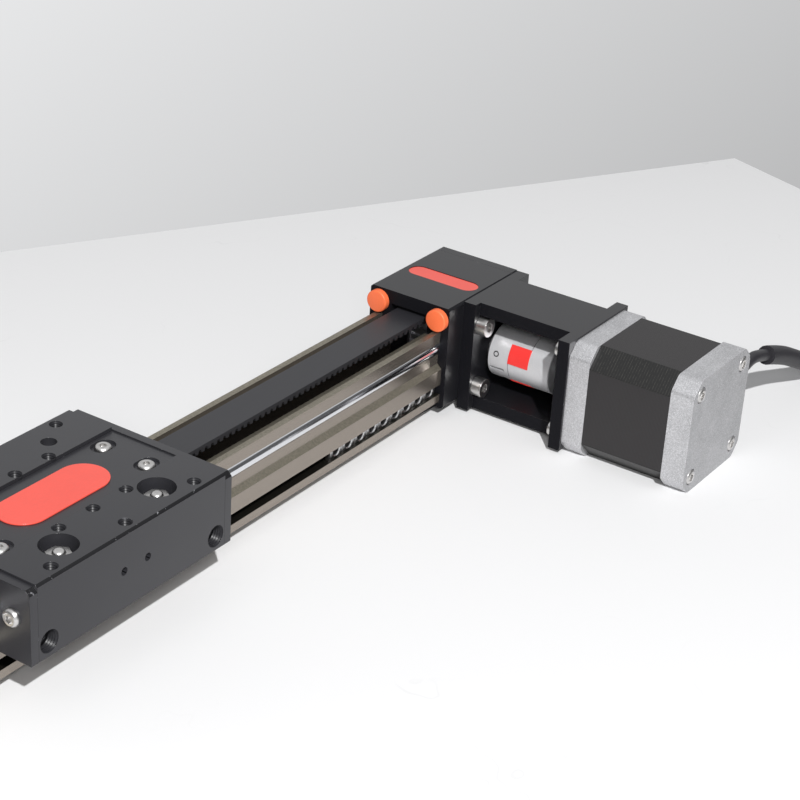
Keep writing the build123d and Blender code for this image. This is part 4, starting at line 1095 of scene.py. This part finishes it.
class OBJECT_OT_rail_carriage(bpy.types.Operator):
    """Carriage block, covers, rollers and screws"""

    bl_idname = "object.rail_carriage"
    bl_label = "Carriage"

    def execute(self, context):
        """Dress the carriage and its rollers."""
        # The edge material is the black at 0.6, darker than the carriage: painted shade on the broken edges
        # and top chamfers, with worn specks of bare metal.
        milled = [anodised("Carriage Black", finish().carriage, 0.40, 3000.0),
                  polished_edge("Carriage Edge Shade", rgb(finish().black, 0.6))]
        bevelled("carriage_body", "carriage", sizes().edge, milled, reshape=self.mark_chamfers)
        for node in ("carriage_cover_drive", "carriage_cover_idler"):
            bevelled(node, "carriage", sizes().edge, milled, reshape=self.chamfer_cover)
        self.threads()
        trim("carriage", inlay_red(), "carriage_label")
        button_screws("carriage_cover_screws", "carriage",
                      lambda middle: Vector((math.copysign(1, middle.x - CARRIAGE_MIDDLE.x), 0, 0)),
                      radius=2.85 * MM, height=1.65 * MM, flats=2.0 * MM, deep=1.0 * MM)
        button_screws("belt_clamp_screws", "carriage", lambda middle: Vector((0, 0, 1)),
                      radius=2.8 * MM, height=1.65 * MM, flats=2.0 * MM, deep=1.0 * MM)
        trim("carriage", stock("Screw Steel"), "axle_nuts", "roller_axles_adjusted", "eccentric_bushes",
             "roller_axles_fixed")
        trim("carriage", stock("Black Oxide"), "carriage_side_screws")
        repaint(stock("Turned Aluminium"), "belt_clamp_bars")
        repaint(moulded("Wiper Felt", (0.05, 0.05, 0.05), 0.9, 1200.0), "rod_wipers")
        repaint(stock("Bearing Steel"), "roller_near_drive", "roller_near_idler", "roller_far_drive",
                "roller_far_idler")
        return {"FINISHED"}

    @staticmethod
    def mark_chamfers(bm):
        """Give the long chamfers on top the darker edge material, which paints shade on them."""
        mark_faces(bm, lambda middle, normal: 0.6 < normal.z < 0.8)

    @staticmethod
    def chamfer_cover(bm):
        """Lower a cover's top edge and turn its stepped corners into chamfers."""
        top, side = CARRIAGE_HIGH.z, CARRIAGE_HIGH.y
        step, drop, chamfer, near = mm(3.0, 0.7, 1.5, 0.1)
        for vertex in bm.verts:
            reach = abs(vertex.co.y)
            if vertex.co.z > top - near:
                vertex.co.z = top - drop
            elif vertex.co.z > top - step - near and reach > side - near:
                vertex.co.z = top - drop - chamfer
            elif vertex.co.z > top - step - near and reach > side - step - near:
                vertex.co.z = top - drop
                vertex.co.y = math.copysign(side - chamfer, vertex.co.y)
        bm.normal_update()
        # The cover's chamfers take the darker edge material too: painted shade.
        OBJECT_OT_rail_carriage.mark_chamfers(bm)

    @staticmethod
    def threads():
        """Cut threads in the twelve holes on top and the four in the sides, each as a ribbed sleeve."""
        bm = bmesh.new()

        def thread(place, axis, radius, deep, pitch):
            """A tube whose inner side has a ridge for each turn of the thread."""
            wall, mouth, root, crest = (radius + change * MM for change in (0.15, -0.02, -0.05, -0.38))
            rings = [(wall, -deep, 0), (wall, 0, 0), (mouth, 0, 0)]
            for turn in range(int(deep / pitch)):
                rings.append((crest, -(turn + 0.5) * pitch, 0))
                rings.append((root, -(turn + 0.95) * pitch, 0))
            rings.append((crest, -deep, 0))
            turned(bm, place, axis, rings, closed=True, segments=32)

        top, face = CARRIAGE_HIGH.z - 0.25 * MM, CARRIAGE_HIGH.y - 0.3 * MM
        outer_row, inner_row = (30.0, 27.0), (14.0, 15.0)
        side_x, side_z = 35.4, 24.6 * MM
        for side in (-1, 1):
            for pitch_x, y in (outer_row, inner_row):
                for x in (-pitch_x, 0, pitch_x):
                    place = Vector((CARRIAGE_MIDDLE.x + x * MM, side * y * MM, top))
                    thread(place, (0, 0, 1), radius=2.1 * MM, deep=8.7 * MM, pitch=0.8 * MM)
            for x in (-side_x, side_x):
                place = Vector((CARRIAGE_MIDDLE.x + x * MM, side * face, side_z))
                thread(place, (0, side, 0), radius=3.5 * MM, deep=5.6 * MM, pitch=0.9 * MM)
        piece = make_object("carriage_threads", bm, "carriage", [cut_thread("Cut Thread")])


class VIEW3D_PT_rail(bpy.types.Panel):
    """Lists the pieces and their settings"""

    bl_idname = "VIEW3D_PT_rail"
    bl_label = "Linear Rail"
    bl_space_type = "VIEW_3D"
    bl_region_type = "UI"
    bl_category = "Linear Rail"

    def draw(self, context):
        """Show each operator, then the colours and sizes."""
        for operator in OPERATORS:
            self.layout.operator(operator.bl_idname)
        for group in (context.scene.rail_finish, context.scene.rail_sizes):
            column = self.layout.column(align=True)
            for name in group.bl_rna.properties.keys():
                if name not in ("rna_type", "name"):
                    column.prop(group, name)


OPERATORS = (OBJECT_OT_rail_stage, OBJECT_OT_rail_cable, OBJECT_OT_rail_profile, OBJECT_OT_rail_blocks,
             OBJECT_OT_rail_drive, OBJECT_OT_rail_motor, OBJECT_OT_rail_belt, OBJECT_OT_rail_carriage)
CLASSES = (RailFinish, RailSizes) + OPERATORS + (VIEW3D_PT_rail,)


def register():
    """Make the classes and settings known."""
    for item in CLASSES:
        bpy.utils.register_class(item)
    bpy.types.Scene.rail_finish = bpy.props.PointerProperty(type=RailFinish)
    bpy.types.Scene.rail_sizes = bpy.props.PointerProperty(type=RailSizes)


def unregister():
    """Forget the classes and settings."""
    del bpy.types.Scene.rail_finish
    del bpy.types.Scene.rail_sizes
    for item in reversed(CLASSES):
        bpy.utils.unregister_class(item)


def main():
    """Build everything in order."""
    register()
    for operator in OPERATORS:
        group, name = operator.bl_idname.split(".")
        getattr(getattr(bpy.ops, group), name)()


if __name__ == "__main__":
    main()
